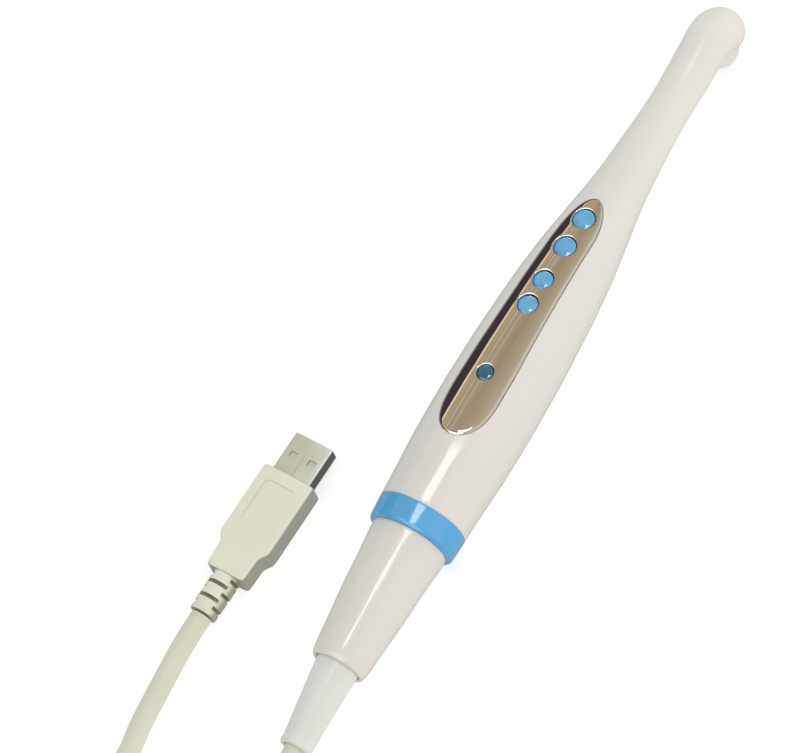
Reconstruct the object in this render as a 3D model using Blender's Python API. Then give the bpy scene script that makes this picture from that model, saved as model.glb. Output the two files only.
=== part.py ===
"""Intraoral camera: a pen-shaped dental camera on a USB cord, built as separate pieces.

Lengths are millimetres and become metres when a mesh is made.  "Station" is the distance along
the handpiece from the rear rim of its tail sleeve, growing toward the tip of the head.  World X
is the station minus X_MID, +Z is the side with the buttons, -Z the side with the lens, and the
belly of the handpiece rests on z = 0.
"""
import math

import bmesh
import bpy
from mathutils import Matrix, Vector

MM = 0.001

# ---------------------------------------------------------------- driving dimensions
TIP_X = 213.9              # station of the tip of the head
BOOT_END_X = -24.4         # station of the small end of the cord boot
X_MID = (TIP_X + BOOT_END_X) / 2
GAP = 0.3                  # clearance between neighbouring pieces

# outer radius of the two body shells at stations along the handpiece
BODY_RADIUS = [
    (47.4, 12.93), (56.9, 13.3), (63.5, 13.7), (70.2, 13.9), (76.9, 14.0), (83.5, 14.0),
    (90.2, 13.85), (96.8, 13.7), (103.5, 13.4), (110.2, 13.0), (116.8, 12.6), (123.5, 12.0),
    (130.1, 11.3), (136.8, 10.3), (143.5, 9.3), (150.1, 8.25), (156.8, 7.45), (163.4, 6.95),
    (170.1, 6.5), (176.7, 6.15), (183.4, 6.05), (190.0, 6.2), (198.8, 6.25),
    (201.5, 6.4), (204.3, 6.8), (206.4, 7.1),
]
HEAD_X = 206.4             # where the rounded end of the head starts
HEAD_R = 7.1
HEAD_ROUND = 2.0           # exponent of the rounded end; 2 is an ellipse
HEAD_WALL = 1.5
BODY_WALL = 2.0

# height of the centre line: the boot hangs down a little and the head nods over the lens
CENTRE_Z = [
    (-26.0, 7.8), (-12.0, 10.3), (0.0, 11.9), (14.0, 12.6), (30.0, 13.3), (45.0, 13.75),
    (60.0, 14.0), (115.0, 14.0), (140.0, 13.9), (165.0, 13.6), (190.0, 12.95),
    (195.0, 13.3), (199.0, 13.65), (202.0, 13.5), (204.3, 12.35), (206.4, 11.2),
    (209.0, 10.2), (213.9, 9.6),
]

# half width of the leaf-shaped chrome panel
PANEL_HALF_WIDTH = [
    (67.5, 0.0), (67.9, 2.0), (68.8, 3.6), (70.4, 5.1), (72.8, 6.3), (76.0, 7.1), (81.0, 7.4),
    (88.0, 7.35), (98.0, 6.95), (112.0, 6.4), (125.0, 6.0), (134.0, 5.7), (138.5, 5.05),
    (141.5, 4.05), (143.6, 2.9), (145.0, 1.6), (145.7, 0.0),
]
PANEL_PROUD = 0.35         # how far the panel stands above the body
PANEL_THICK = 1.0

# buttons: station, diameter
BUTTONS = [(138.7, 6.0), (129.1, 6.0), (117.8, 5.4), (109.6, 5.5)]
LIGHT_X = 87.0             # indicator window
LIGHT_D = 4.4

LENS_X = 204.2             # station of the lens axis
RING_R = 5.4               # lens ring, outer radius
HEAD_Z = 12.7              # height that the lens and its board are placed from
RING_REACH = 9.2           # how far the ring reaches below that height

PLUG_X, PLUG_Y, PLUG_Z = 0.31, 45.14, 4.0     # station, side and height of the plug's axis origin
PLUG_TURN = math.radians(-3.15)
USB_W, USB_T, USB_WALL = 12.0, 4.5, 0.3
USB_ROOT, USB_TIP, USB_BURIED = 44.2, 56.2, 5.8

CORD_R = 3.0
COIL_X, COIL_Y = -111.0, 18.0                  # station and side of the coil's centre
COIL_MEAN_R, COIL_WIDE, COIL_HIGH, COIL_LOW = 36.0, 24.0, 12.1, 1.3
TIE_ANGLE = math.radians(-135)


# ---------------------------------------------------------------- shape functions
def smooth(table, x):
    """Value at x of a monotone cubic drawn through (x, value) pairs."""
    if x <= table[0][0]:
        return table[0][1]
    if x >= table[-1][0]:
        return table[-1][1]
    last = len(table) - 1
    i = max(k for k in range(last) if table[k][0] <= x)

    def chord(k):
        return (table[k + 1][1] - table[k][1]) / (table[k + 1][0] - table[k][0])

    def slope(k):
        if k == 0 or k == last:
            return chord(min(k, last - 1))
        before, after = chord(k - 1), chord(k)
        return 0.0 if before * after <= 0 else 2 * before * after / (before + after)

    (x0, v0), (x1, v1) = table[i], table[i + 1]
    h = x1 - x0
    t = (x - x0) / h
    return (v0 * (2 * t ** 3 - 3 * t ** 2 + 1) + v1 * (3 * t ** 2 - 2 * t ** 3)
            + h * slope(i) * (t ** 3 - 2 * t ** 2 + t) + h * slope(i + 1) * (t ** 3 - t ** 2))


def centre_z(x):
    return smooth(CENTRE_Z, x)


def body_r(x):
    if x <= HEAD_X:
        return smooth(BODY_RADIUS, x)
    part = min(1.0, (x - HEAD_X) / (TIP_X - HEAD_X))
    return HEAD_R * (1 - part ** HEAD_ROUND) ** (1 / HEAD_ROUND)


def wall(x):
    return smooth([(140.0, BODY_WALL), (170.0, 1.6), (190.0, HEAD_WALL)], x)


def on_axis(x, r, turn):
    """World point at a station, a radius from the centre line and a turn about it."""
    return Vector((x - X_MID, r * math.cos(turn), centre_z(x) + r * math.sin(turn)))


def upright(cx, cz):
    """Placement for pieces turned about a vertical axis: (height, radius, turn) to world."""
    def place(h, r, turn):
        return Vector((cx - X_MID + r * math.cos(turn), r * math.sin(turn), cz + h))
    return place


def local_z(h, r, turn):
    return Vector((r * math.cos(turn), r * math.sin(turn), h))


# ---------------------------------------------------------------- mesh helpers
MATERIALS = {
    "pearl_white": ((0.80, 0.82, 0.78, 1), 0.0, 0.18),
    "chrome": ((0.62, 0.58, 0.53, 1), 1.0, 0.08),
    "cap_blue": ((0.06, 0.16, 0.55, 1), 0.0, 0.08),
    "ring_blue": ((0.05, 0.20, 0.60, 1), 0.0, 0.25),
    "smoke_blue": ((0.03, 0.06, 0.22, 1), 0.0, 0.10),
    "boot_clear": ((0.66, 0.67, 0.62, 1), 0.0, 0.35),
    "ring_clear": ((0.72, 0.74, 0.70, 1), 0.0, 0.20),
    "glass": ((0.90, 0.93, 0.95, 1), 0.0, 0.02),
    "beige": ((0.58, 0.57, 0.40, 1), 0.0, 0.45),
    "board_green": ((0.02, 0.16, 0.07, 1), 0.0, 0.45),
    "chip_black": ((0.02, 0.02, 0.02, 1), 0.0, 0.50),
    "sensor_dark": ((0.05, 0.05, 0.09, 1), 0.0, 0.10),
    "dark_plastic": ((0.04, 0.04, 0.045, 1), 0.0, 0.50),
    "grey_plastic": ((0.35, 0.36, 0.36, 1), 0.0, 0.50),
    "white_plastic": ((0.80, 0.80, 0.77, 1), 0.0, 0.40),
    "led_yellow": ((0.85, 0.80, 0.40, 1), 0.0, 0.30),
    "flex_amber": ((0.45, 0.20, 0.03, 1), 0.0, 0.35),
    "steel": ((0.60, 0.60, 0.58, 1), 1.0, 0.25),
    "aluminium": ((0.66, 0.67, 0.68, 1), 1.0, 0.35),
    "brass": ((0.70, 0.52, 0.20, 1), 1.0, 0.25),
    "gold": ((0.80, 0.60, 0.22, 1), 1.0, 0.20),
    "loom_grey": ((0.30, 0.30, 0.32, 1), 0.0, 0.50),
    "tie_black": ((0.03, 0.03, 0.03, 1), 0.0, 0.80),
}


def material(name, look):
    colour, metallic, roughness = MATERIALS[look]
    mat = bpy.data.materials.new(name)
    mat.use_nodes = True
    shader = mat.node_tree.nodes["Principled BSDF"]
    shader.inputs["Base Color"].default_value = colour
    shader.inputs["Metallic"].default_value = metallic
    shader.inputs["Roughness"].default_value = roughness
    mat.diffuse_color = colour
    return mat


def finish(bm, name, look, origin=Vector((0, 0, 0)), turn=(0, 0, 0), sharp=0.6):
    """Turn a bmesh in millimetres, drawn about its own origin, into a placed object."""
    bmesh.ops.recalc_face_normals(bm, faces=bm.faces)
    for face in bm.faces:
        face.smooth = True
    for edge in bm.edges:
        if len(edge.link_faces) == 2:
            edge.smooth = edge.calc_face_angle(0.0) < sharp
    bmesh.ops.scale(bm, vec=(MM, MM, MM), verts=bm.verts)
    mesh = bpy.data.meshes.new(name)
    bm.to_mesh(mesh)
    bm.free()
    obj = bpy.data.objects.new(name, mesh)
    bpy.context.collection.objects.link(obj)
    obj.location = Vector(origin) * MM
    obj.rotation_euler = turn
    if look:
        mesh.materials.append(material(name, look))
    return obj


def skin(bm, first, second):
    """Faces between two neighbouring rings; a ring of one vertex is a point on the axis."""
    count = max(len(first), len(second))
    for k in range(count):
        corners = [first[k % len(first)], first[(k + 1) % len(first)],
                   second[(k + 1) % len(second)], second[k % len(second)]]
        distinct = list(dict.fromkeys(corners))
        if len(distinct) > 2:
            bm.faces.new(distinct)


def turned(name, profile, look, place=on_axis, sides=40, origin=None, turn=(0, 0, 0)):
    """Solid of revolution.  profile: (distance along the axis, radius) around its outline.

    A profile that starts and ends at radius 0 is open at the axis; any other is a closed loop.
    """
    base = Vector((0, 0, 0)) if origin is None or place is local_z else Vector(origin)
    bm = bmesh.new()
    rings = []
    for along, radius in profile:
        if radius < 1e-6:
            rings.append([bm.verts.new(place(along, 0.0, 0.0) - base)])
        else:
            angles = [2 * math.pi * k / sides for k in range(sides)]
            rings.append([bm.verts.new(place(along, radius, a) - base) for a in angles])
    for first, second in zip(rings, rings[1:]):
        skin(bm, first, second)
    if len(rings[0]) > 1:
        skin(bm, rings[-1], rings[0])
    return finish(bm, name, look, origin or (0, 0, 0), turn)


def block(name, size, centre, look, turn=(0, 0, 0), bevel=0.0):
    bm = bmesh.new()
    bmesh.ops.create_cube(bm, size=1.0)
    bmesh.ops.scale(bm, vec=size, verts=bm.verts)
    if bevel:
        bmesh.ops.bevel(bm, geom=list(bm.edges), offset=bevel, segments=2, profile=0.5,
                        affect="EDGES", clamp_overlap=True)
    return finish(bm, name, look, centre, turn)


def rod(name, radius, low, high, centre, look, turn=(0, 0, 0), sides=32):
    """Plain cylinder from low to high on its own z axis."""
    profile = [(low, 0.0), (low, radius), (high, radius), (high, 0.0)]
    return turned(name, profile, look, local_z, sides, centre, turn)


def loft(name, sections, look, origin=(0, 0, 0), turn=(0, 0, 0), sharp=0.6):
    """Solid through closed sections of equal point count, with flat ends."""
    bm = bmesh.new()
    rings = [[bm.verts.new(point) for point in section] for section in sections]
    for first, second in zip(rings, rings[1:]):
        skin(bm, first, second)
    bm.faces.new(rings[0])
    bm.faces.new(list(reversed(rings[-1])))
    return finish(bm, name, look, origin, turn, sharp)


def combine(target, tool, operation):
    """Boolean with a tool that is kept as a hidden wire object."""
    tool.hide_render = True
    tool.display_type = "WIRE"
    step = target.modifiers.new(tool.name, "BOOLEAN")
    step.operation = operation
    step.solver = "EXACT"
    step.object = tool


def tube(name, points, look, radius=CORD_R):
    """Round cord along a list of world points in millimetres."""
    curve = bpy.data.curves.new(name, "CURVE")
    curve.dimensions = "3D"
    curve.bevel_depth = radius * MM
    curve.bevel_resolution = 3
    curve.use_fill_caps = True
    spline = curve.splines.new("POLY")
    spline.points.add(len(points) - 1)
    for slot, point in zip(spline.points, points):
        slot.co = (point[0] * MM, point[1] * MM, point[2] * MM, 1)
    obj = bpy.data.objects.new(name, curve)
    bpy.context.collection.objects.link(obj)
    curve.materials.append(material(name, look))
    return obj


def through(knots, step):
    """Evenly spaced points on a smooth curve (centripetal spline) through the knots."""
    pts = [Vector(k) for k in knots]
    pts = [2 * pts[0] - pts[1]] + pts + [2 * pts[-1] - pts[-2]]
    fine = []
    for a, b, c, d in zip(pts, pts[1:], pts[2:], pts[3:]):
        for k in range(24):
            t = k / 24
            fine.append(0.5 * ((2 * b) + (c - a) * t + (2 * a - 5 * b + 4 * c - d) * t ** 2
                               + (3 * b - a - 3 * c + d) * t ** 3))
    fine.append(pts[-2])
    total = sum((q - p).length for p, q in zip(fine, fine[1:]))
    count = max(2, round(total / step))
    out, done, k = [fine[0]], 0.0, 1
    for p, q in zip(fine, fine[1:]):
        piece = (q - p).length
        while k < count and done + piece >= total * k / count:
            out.append(p.lerp(q, (total * k / count - done) / piece))
            k += 1
        done += piece
    return out + [fine[-1]]


# ---------------------------------------------------------------- clean start
for old in list(bpy.data.objects):
    bpy.data.objects.remove(old, do_unlink=True)


# ---------------------------------------------------------------- body shells
def half_shell(name, side):
    """Upper (+1) or lower (-1) half of the hollow body, split along the centre line."""
    outer = [(x, body_r(x)) for x in (47.4, 52.0, 56.9, 60.2, 63.5, 70.2, 76.9, 83.5, 90.2, 96.8,
             103.5, 110.2, 116.8, 123.5, 130.1, 136.8, 143.5, 150.1, 156.8, 163.4, 170.1, 176.7,
             183.4, 187.0, 190.0, 194.0, 198.8, 201.5, 204.3, 206.4, 208.4, 210.0, 211.4, 212.5, 213.3,
             213.75)]
    inner = []
    for x, r in outer:
        if x <= HEAD_X:
            inner.append((x, r - wall(x)))
        else:
            shrink = (TIP_X - HEAD_X - 1.6) / (TIP_X - HEAD_X)
            inner.append((HEAD_X + (x - HEAD_X) * shrink, r * (HEAD_R - HEAD_WALL) / HEAD_R))
    half_gap = GAP / 2
    steps = 16
    bm = bmesh.new()

    def arc(x, r):
        out = []
        for j in range(steps + 1):
            a = math.pi * j / steps
            up = half_gap + (r - half_gap) * math.sin(a)
            out.append(bm.verts.new((x - X_MID, r * math.cos(a), centre_z(x) + side * up)))
        return out

    outside = [arc(x, r) for x, r in outer]
    inside = [arc(x, r) for x, r in inner]
    for skin_arcs, tip in ((outside, TIP_X), (inside, TIP_X - 1.6)):
        point = (tip - X_MID, 0, centre_z(tip) + side * half_gap)
        skin_arcs.append([bm.verts.new(point)] * (steps + 1))
    for skin_arcs in (outside, inside):
        for first, second in zip(skin_arcs, skin_arcs[1:]):
            for j in range(steps):
                corners = [first[j], first[j + 1], second[j + 1], second[j]]
                bm.faces.new(list(dict.fromkeys(corners)))
    for j in range(steps):
        bm.faces.new([outside[0][j], outside[0][j + 1], inside[0][j + 1], inside[0][j]])
    for j in (0, steps):
        for i in range(len(outside) - 1):
            bm.faces.new([outside[i][j], outside[i + 1][j], inside[i + 1][j], inside[i][j]])
    return finish(bm, name, "pearl_white")


upper_shell = half_shell("upper_shell", 1)
lower_shell = half_shell("lower_shell", -1)


# ---------------------------------------------------------------- chrome panel and its pocket
def leaf_sections(grow, top, bottom, step):
    """Sections of the leaf outline, following the round body between two heights above it."""
    start, end = PANEL_HALF_WIDTH[0][0] - grow, PANEL_HALF_WIDTH[-1][0] + grow
    near = [0.12, 0.45, 1.0, 1.8, 2.9, 4.4, 6.2]
    span = end - start
    count = round((span - 16.0) / step)
    xs = [start + d for d in near] + [start + 8.0 + k * (span - 14.0) / count for k in range(count)]
    xs += [end - d for d in (6.0, 4.4, 2.9, 1.8, 1.0, 0.45, 0.12)]
    out = []
    for x in xs:
        scale = (PANEL_HALF_WIDTH[-1][0] - PANEL_HALF_WIDTH[0][0]) / span
        w = smooth(PANEL_HALF_WIDTH, PANEL_HALF_WIDTH[0][0] + (x - start) * scale) + grow * 0.98
        w = min(w, 20.0)
        section = []
        for height, sweep in ((top, range(-4, 5)), (bottom, range(4, -5, -1))):
            r = body_r(x) + height
            for k in sweep:
                y = w * math.sin(k / 4 * math.pi / 2)
                section.append((x - X_MID, y, centre_z(x) + math.sqrt(r * r - y * y)))
        out.append(section)
    return out


chrome_panel = loft("chrome_panel", leaf_sections(0.0, PANEL_PROUD, PANEL_PROUD - PANEL_THICK, 3.2),
                    "chrome")
pocket = loft("pocket_cutter", leaf_sections(GAP, 3.0, PANEL_PROUD - PANEL_THICK - GAP, 3.2), None)
combine(upper_shell, pocket, "DIFFERENCE")

# ---------------------------------------------------------------- buttons on a tilted key board
first_z = centre_z(BUTTONS[0][0]) + body_r(BUTTONS[0][0]) + PANEL_PROUD
last_z = centre_z(BUTTONS[-1][0]) + body_r(BUTTONS[-1][0]) + PANEL_PROUD
KEY_TILT = math.atan2(last_z - first_z, BUTTONS[0][0] - BUTTONS[-1][0])
KEY_X = (BUTTONS[0][0] + BUTTONS[-1][0]) / 2
KEY_Z = (first_z + last_z) / 2
TILT = (0, KEY_TILT, 0)
ALONG = Vector((math.cos(KEY_TILT), 0, -math.sin(KEY_TILT)))
OUT = Vector((math.sin(KEY_TILT), 0, math.cos(KEY_TILT)))
KEY_ORIGIN = Vector((KEY_X - X_MID, 0, KEY_Z))


def on_key_plane(x, height):
    """World point on the tilted key plane, under station x and height above the plane."""
    surface = Vector((x - X_MID, 0, centre_z(x) + body_r(x) + PANEL_PROUD))
    return KEY_ORIGIN + ALONG * (surface - KEY_ORIGIN).dot(ALONG) + OUT * height


for number, (x, diameter) in enumerate(BUTTONS, start=1):
    r = diameter / 2
    top = Vector((x - X_MID, 0, centre_z(x) + body_r(x) + PANEL_PROUD))
    above = (top - KEY_ORIGIN).dot(OUT)
    dome = [(-0.25, 0.0), (-0.27, r * 0.35), (-0.36, r * 0.65), (-0.50, r * 0.86), (-0.72, r)]
    skirt = [(-3.7, r), (-3.7, r + 0.6), (-4.3, r + 0.6), (-4.3, 1.1), (-5.0 - above, 1.1),
             (-5.0 - above, 0.0)]
    turned(f"button_cap_{number}", dome + skirt, "cap_blue", local_z, 22, top, TILT)
    hole = rod(f"button_hole_{number}", r + GAP, -6.0, 3.0, top, None, TILT, 24)
    combine(chrome_panel, hole, "DIFFERENCE")
    combine(upper_shell, hole, "DIFFERENCE")
    rod(f"switch_plunger_{number}", 0.9, -6.9, -5.3, on_key_plane(x, 0.0), "dark_plastic", TILT, 16)
    seat = on_key_plane(x, -7.0)
    body = block(f"switch_body_{number}", (4.4, 4.4, 1.6), seat, "dark_plastic", TILT, 0.15)
    well = rod(f"switch_well_{number}", 1.2, -0.6, 2.0, seat, None, TILT, 16)
    combine(body, well, "DIFFERENCE")

block("key_board", (36.0, 9.0, 1.0), KEY_ORIGIN - OUT * 8.6, "board_green", TILT, 0.1)

# indicator window: a light pipe down to an LED on the main board
light_top = Vector((LIGHT_X - X_MID, 0, centre_z(LIGHT_X) + body_r(LIGHT_X) + PANEL_PROUD))
lr = LIGHT_D / 2
turned("indicator_lens",
       [(-0.25, 0.0), (-0.30, lr * 0.5), (-0.42, lr * 0.8), (-0.62, lr), (-3.2, lr), (-3.2, 2.9),
        (-3.8, 2.9), (-3.8, 1.4), (-13.4, 1.4), (-13.4, 0.0)],
       "smoke_blue", local_z, 22, light_top)
light_hole = rod("indicator_hole", lr + GAP, -6.0, 3.0, light_top, None, (0, 0, 0), 24)
combine(chrome_panel, light_hole, "DIFFERENCE")
combine(upper_shell, light_hole, "DIFFERENCE")

# ---------------------------------------------------------------- electronics in the body
BOARD_Z = 14.0             # centre line height where the main board lies


def inside(name, x0, x1, half_y, z0, z1, look, bevel=0.1, y=0.0):
    """Block between two stations and two heights from the centre line."""
    size = (x1 - x0, 2 * half_y, z1 - z0)
    centre = ((x0 + x1) / 2 - X_MID, y, BOARD_Z + (z0 + z1) / 2)
    return block(name, size, centre, look, (0, 0, 0), bevel)


main_board = inside("main_board", 70.0, 140.0, 6.6, -2.6, -1.6, "board_green")
inside("cord_connector", 70.6, 76.2, 3.6, -1.3, 1.5, "white_plastic")
inside("usb_chip", 78.0, 84.0, 3.0, -1.3, -0.3, "chip_black")
inside("indicator_led", 86.1, 88.9, 1.4, -1.3, 0.5, "led_yellow")
inside("video_chip", 95.6, 105.0, 4.7, -1.3, -0.1, "chip_black")
inside("board_link", 107.0, 109.4, 3.6, -1.3, 3.6, "dark_plastic")
inside("flex_connector", 133.0, 138.8, 3.6, -1.3, -0.1, "white_plastic")

rail = [(-5.0, -5.2), (5.0, -5.2), (5.0, -2.9), (4.2, -2.9), (4.2, -4.0), (-4.2, -4.0),
        (-4.2, -2.9), (-5.0, -2.9)]
board_frame = loft("board_frame",
                   [[(x - X_MID, y, BOARD_Z + z) for y, z in rail] for x in (64.0, 140.0)],
                   "aluminium")
for number, x in enumerate((92.3, 116.0), start=1):
    spot = (x - X_MID, 0.0, BOARD_Z)
    post = rod(f"post_{number}", 1.8, -4.6, -2.9, spot, None, sides=24)
    combine(board_frame, post, "UNION")
    bore = rod(f"post_bore_{number}", 1.0, -6.0, 0.0, spot, None, sides=20)
    combine(board_frame, bore, "DIFFERENCE")
    combine(main_board, bore, "DIFFERENCE")
    turned(f"board_screw_{number}",
           [(-0.5, 0.0), (-0.5, 1.2), (-0.7, 1.4), (-1.3, 1.4), (-1.3, 0.7), (-4.8, 0.7),
            (-4.8, 0.0)], "steel", local_z, 20, spot)

# ---------------------------------------------------------------- flat cable to the head
flex_path = [(139.2, 13.3), (146.0, 13.4), (156.0, 13.55), (168.0, 13.5), (180.0, 13.4),
             (188.0, 13.5), (194.0, 14.0), (198.3, 14.6)]
loft("flex_cable",
     [[(x - X_MID, -2.0, z), (x - X_MID, 2.0, z), (x - X_MID, 2.0, z + 0.3),
       (x - X_MID, -2.0, z + 0.3)] for x, z in flex_path], "flex_amber")

# ---------------------------------------------------------------- camera head, looking down
down = upright(LENS_X, HEAD_Z)
head_origin = (LENS_X - X_MID, 0, HEAD_Z)
lens_hole = rod("lens_hole", RING_R + GAP, -12.0, -2.8, head_origin, None, sides=40)
combine(lower_shell, lens_hole, "DIFFERENCE")

lens_ring = [(-3.2, RING_R), (-8.4, RING_R), (-8.85, RING_R - 0.12), (-9.1, RING_R - 0.35),
             (-RING_REACH, RING_R - 0.7), (-RING_REACH, 4.6), (-8.2, 4.6), (-8.2, 4.3),
             (-3.2, 4.3)]
turned("lens_ring", lens_ring, "ring_clear", down, 32, head_origin)
turned("lens_window", [(-8.9, 0.0), (-8.9, 4.3), (-8.5, 4.3), (-8.5, 0.0)], "glass", down, 40,
       head_origin)
turned("led_board", [(-6.3, 1.9), (-6.3, 4.0), (-5.7, 4.0), (-5.7, 1.9)], "board_green", down, 32,
       head_origin)
for number in range(4):
    angle = math.radians(45 + 90 * number)
    spot = Vector(head_origin) + Vector((3.0 * math.cos(angle), 3.0 * math.sin(angle), -6.9))
    block(f"led_{number + 1}", (1.2, 1.2, 0.6), spot, "led_yellow", (0, 0, angle), 0.1)
turned("lens_barrel", [(-7.4, 1.2), (-7.4, 1.6), (-1.5, 1.6), (-1.5, 1.2)], "aluminium", down, 24,
       head_origin)
turned("front_lens", [(-7.25, 0.0), (-7.2, 0.5), (-7.0, 0.9), (-6.5, 0.9), (-6.5, 0.0)], "glass",
       down, 20, head_origin)
turned("rear_lens", [(-3.2, 0.0), (-3.2, 0.9), (-2.8, 0.9), (-2.55, 0.5), (-2.5, 0.0)], "glass",
       down, 20, head_origin)
turned("lens_holder",
       [(-4.4, 1.9), (-4.4, 2.6), (-0.5, 2.6), (-0.5, 3.0), (0.3, 3.0), (0.3, 1.9)],
       "dark_plastic", down, 28, head_origin)
block("sensor_board", (8.0, 6.2, 0.6), (202.9 - X_MID, 0, HEAD_Z + 1.7), "board_green")
block("image_sensor", (3.6, 3.6, 0.5), (LENS_X - X_MID, 0, HEAD_Z + 0.85), "sensor_dark",
      bevel=0.05)

# ---------------------------------------------------------------- tail: ring, sleeve, collar, boot
turned("blue_ring",
       [(40.2, 12.0), (40.55, 12.45), (41.1, 12.63), (43.5, 12.77), (46.6, 12.95), (47.1, 12.85),
        (47.1, 10.4), (40.2, 10.4)], "ring_blue", sides=40)
turned("tail_sleeve",
       [(0.0, 7.0), (0.25, 7.5), (0.9, 7.85), (3.6, 8.36), (6.9, 8.6), (13.6, 9.2), (20.3, 9.8),
        (30.2, 10.4), (38.0, 11.05), (39.5, 11.12), (39.9, 10.87), (39.9, 8.9), (31.0, 8.9),
        (24.0, 8.9), (24.0, 7.5), (18.0, 7.5), (12.1, 7.5), (12.1, 6.55), (9.0, 6.55), (4.5, 6.55),
        (0.3, 6.55), (0.0, 6.75)],
       "pearl_white", sides=36)
turned("threaded_collar",
       [(26.0, 8.2), (26.4, 8.5), (31.0, 8.5), (40.0, 8.5), (40.2, 10.1), (43.5, 10.1),
        (47.4, 10.1), (47.5, 10.6), (60.0, 10.6), (60.0, 9.0), (46.0, 9.0), (44.0, 7.2),
        (36.0, 7.2), (26.0, 7.2)],
       "brass", sides=28)
turned("cord_boot",
       [(-24.4, 4.25), (-24.1, 4.62), (-23.3, 4.8), (-22.5, 4.62), (-18.0, 4.85), (-12.0, 5.25),
        (-6.0, 5.7), (0.0, 6.2), (4.5, 6.2), (9.0, 6.2), (12.4, 6.2), (12.4, 7.1), (15.0, 7.1),
        (15.0, 3.35), (9.0, 3.35), (4.5, 3.35), (0.0, 3.35), (-6.0, 3.35), (-12.0, 3.35),
        (-18.0, 3.35), (-24.4, 3.35)], "boot_clear", sides=28)
turned("cord_clamp", [(17.0, 3.3), (17.0, 5.2), (17.4, 5.6), (22.6, 5.6), (23.0, 5.2), (23.0, 3.3)],
       "steel", sides=28)
turned("cord_end", [(4.5, 0.0), (4.5, 3.0), (9.0, 3.0), (15.0, 3.0), (20.0, 3.0), (26.0, 3.0),
                    (26.0, 0.0)], "beige", sides=16)
tube("wire_loom", through([on_axis(26.3, 0, 0), on_axis(40.0, 0, 0), on_axis(56.0, 0, 0),
                           on_axis(70.2, 0, 0)], 5.0), "loom_grey", 1.4)


# ---------------------------------------------------------------- plug
def at_plug(x, y, z):
    """World point from the plug's own frame: x toward its tip, z from its mid plane."""
    side = math.cos(PLUG_TURN) * y + math.sin(PLUG_TURN) * x
    along = math.cos(PLUG_TURN) * x - math.sin(PLUG_TURN) * y
    return Vector((PLUG_X - X_MID + along, PLUG_Y + side, PLUG_Z + z))


plug_origin = at_plug(0, 0, 0)
PLUG_ROTATION = (0, 0, PLUG_TURN)


def soft_box(x, half_w, half_t, power, count=32):
    """Section across the plug: 2 is an ellipse, larger powers are squarer."""
    out = []
    for k in range(count):
        a = 2 * math.pi * (k + 0.5) / count
        c, s = math.cos(a), math.sin(a)
        y = half_w * math.copysign(abs(c) ** (2 / power), c)
        z = half_t * math.copysign(abs(s) ** (2 / power), s)
        out.append((x, y, z))
    return out


plug_overmould = loft("plug_overmould", [
    soft_box(-0.3, 3.7, 3.7, 2), soft_box(0.1, 3.92, 3.9, 2), soft_box(6.0, 4.0, 3.95, 2),
    soft_box(12.0, 4.1, 3.97, 2), soft_box(12.3, 5.0, 3.6, 3.2), soft_box(12.9, 5.7, 3.8, 4),
    soft_box(14.4, 6.15, 3.95, 4.5), soft_box(18.8, 6.25, 4.0, 5), soft_box(19.8, 6.6, 4.0, 5),
    soft_box(20.9, 7.4, 4.0, 5), soft_box(22.0, 7.95, 4.0, 5), soft_box(24.0, 8.1, 4.0, 5),
    soft_box(43.1, 8.1, 4.0, 5), soft_box(43.8, 7.9, 3.8, 5), soft_box(USB_ROOT, 7.5, 3.45, 5)],
    "beige", plug_origin, PLUG_ROTATION, 0.75)
socket = block("plug_pocket", (8.0, USB_W + 2 * GAP, USB_T + 2 * GAP),
               at_plug(USB_ROOT - USB_BURIED - GAP + 4.0, 0, 0), None, PLUG_ROTATION)
combine(plug_overmould, socket, "DIFFERENCE")
slot_mesh = bmesh.new()
for x, y, z, sy, sz in ([(x, s * 3.6, 0, 2.6, 6.0) for x in (2.0, 6.4, 10.8) for s in (-1, 1)]
                        + [(x, 0, s * 3.6, 6.0, 2.6) for x in (4.2, 8.6) for s in (-1, 1)]):
    matrix = Matrix.Translation((x, y, z)) @ Matrix.Diagonal((1.1, sy, sz, 1))
    bmesh.ops.create_cube(slot_mesh, size=1.0, matrix=matrix)
slots = finish(slot_mesh, "relief_slots", None, plug_origin, PLUG_ROTATION)
combine(plug_overmould, slots, "DIFFERENCE")

usb_back = USB_ROOT - USB_BURIED
shell_length = USB_TIP - usb_back
shell_corner = 0.35
shell_outline = []
for cy, cz, start in ((1, 1, 0), (-1, 1, 90), (-1, -1, 180), (1, -1, 270)):
    for k in range(4):
        a = math.radians(start + 30 * k)
        shell_outline.append((cy * (USB_W / 2 - shell_corner) + shell_corner * math.cos(a),
                              cz * (USB_T / 2 - shell_corner) + shell_corner * math.sin(a)))
plug_shell = loft("plug_shell", [[(x, y, z) for y, z in shell_outline] for x in (usb_back, USB_TIP)],
                  "steel", plug_origin, PLUG_ROTATION)
hollow = block("shell_hollow", (shell_length + 4, USB_W - 2 * USB_WALL, USB_T - 2 * USB_WALL),
               at_plug((USB_TIP + usb_back) / 2, 0, 0), None, PLUG_ROTATION)
combine(plug_shell, hollow, "DIFFERENCE")
for number, (side, face) in enumerate([(a, b) for a in (-1, 1) for b in (-1, 1)], start=1):
    latch = block(f"latch_hole_{number}", (1.9, 2.3, 1.2), at_plug(50.1, side * 3.0, face * 2.1),
                  None, PLUG_ROTATION)
    combine(plug_shell, latch, "DIFFERENCE")
block("plug_insulator", (16.0, 10.6, 1.5), at_plug(47.4, 0, 0.85), "white_plastic", PLUG_ROTATION,
      0.1)
for number, (y, length) in enumerate([(-3.5, 13.4), (-1.0, 12.4), (1.0, 12.4), (3.5, 13.4)], 1):
    block(f"plug_contact_{number}", (length, 1.0, 0.3), at_plug(41.2 + length / 2, y, -0.35),
          "gold", PLUG_ROTATION)

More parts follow.
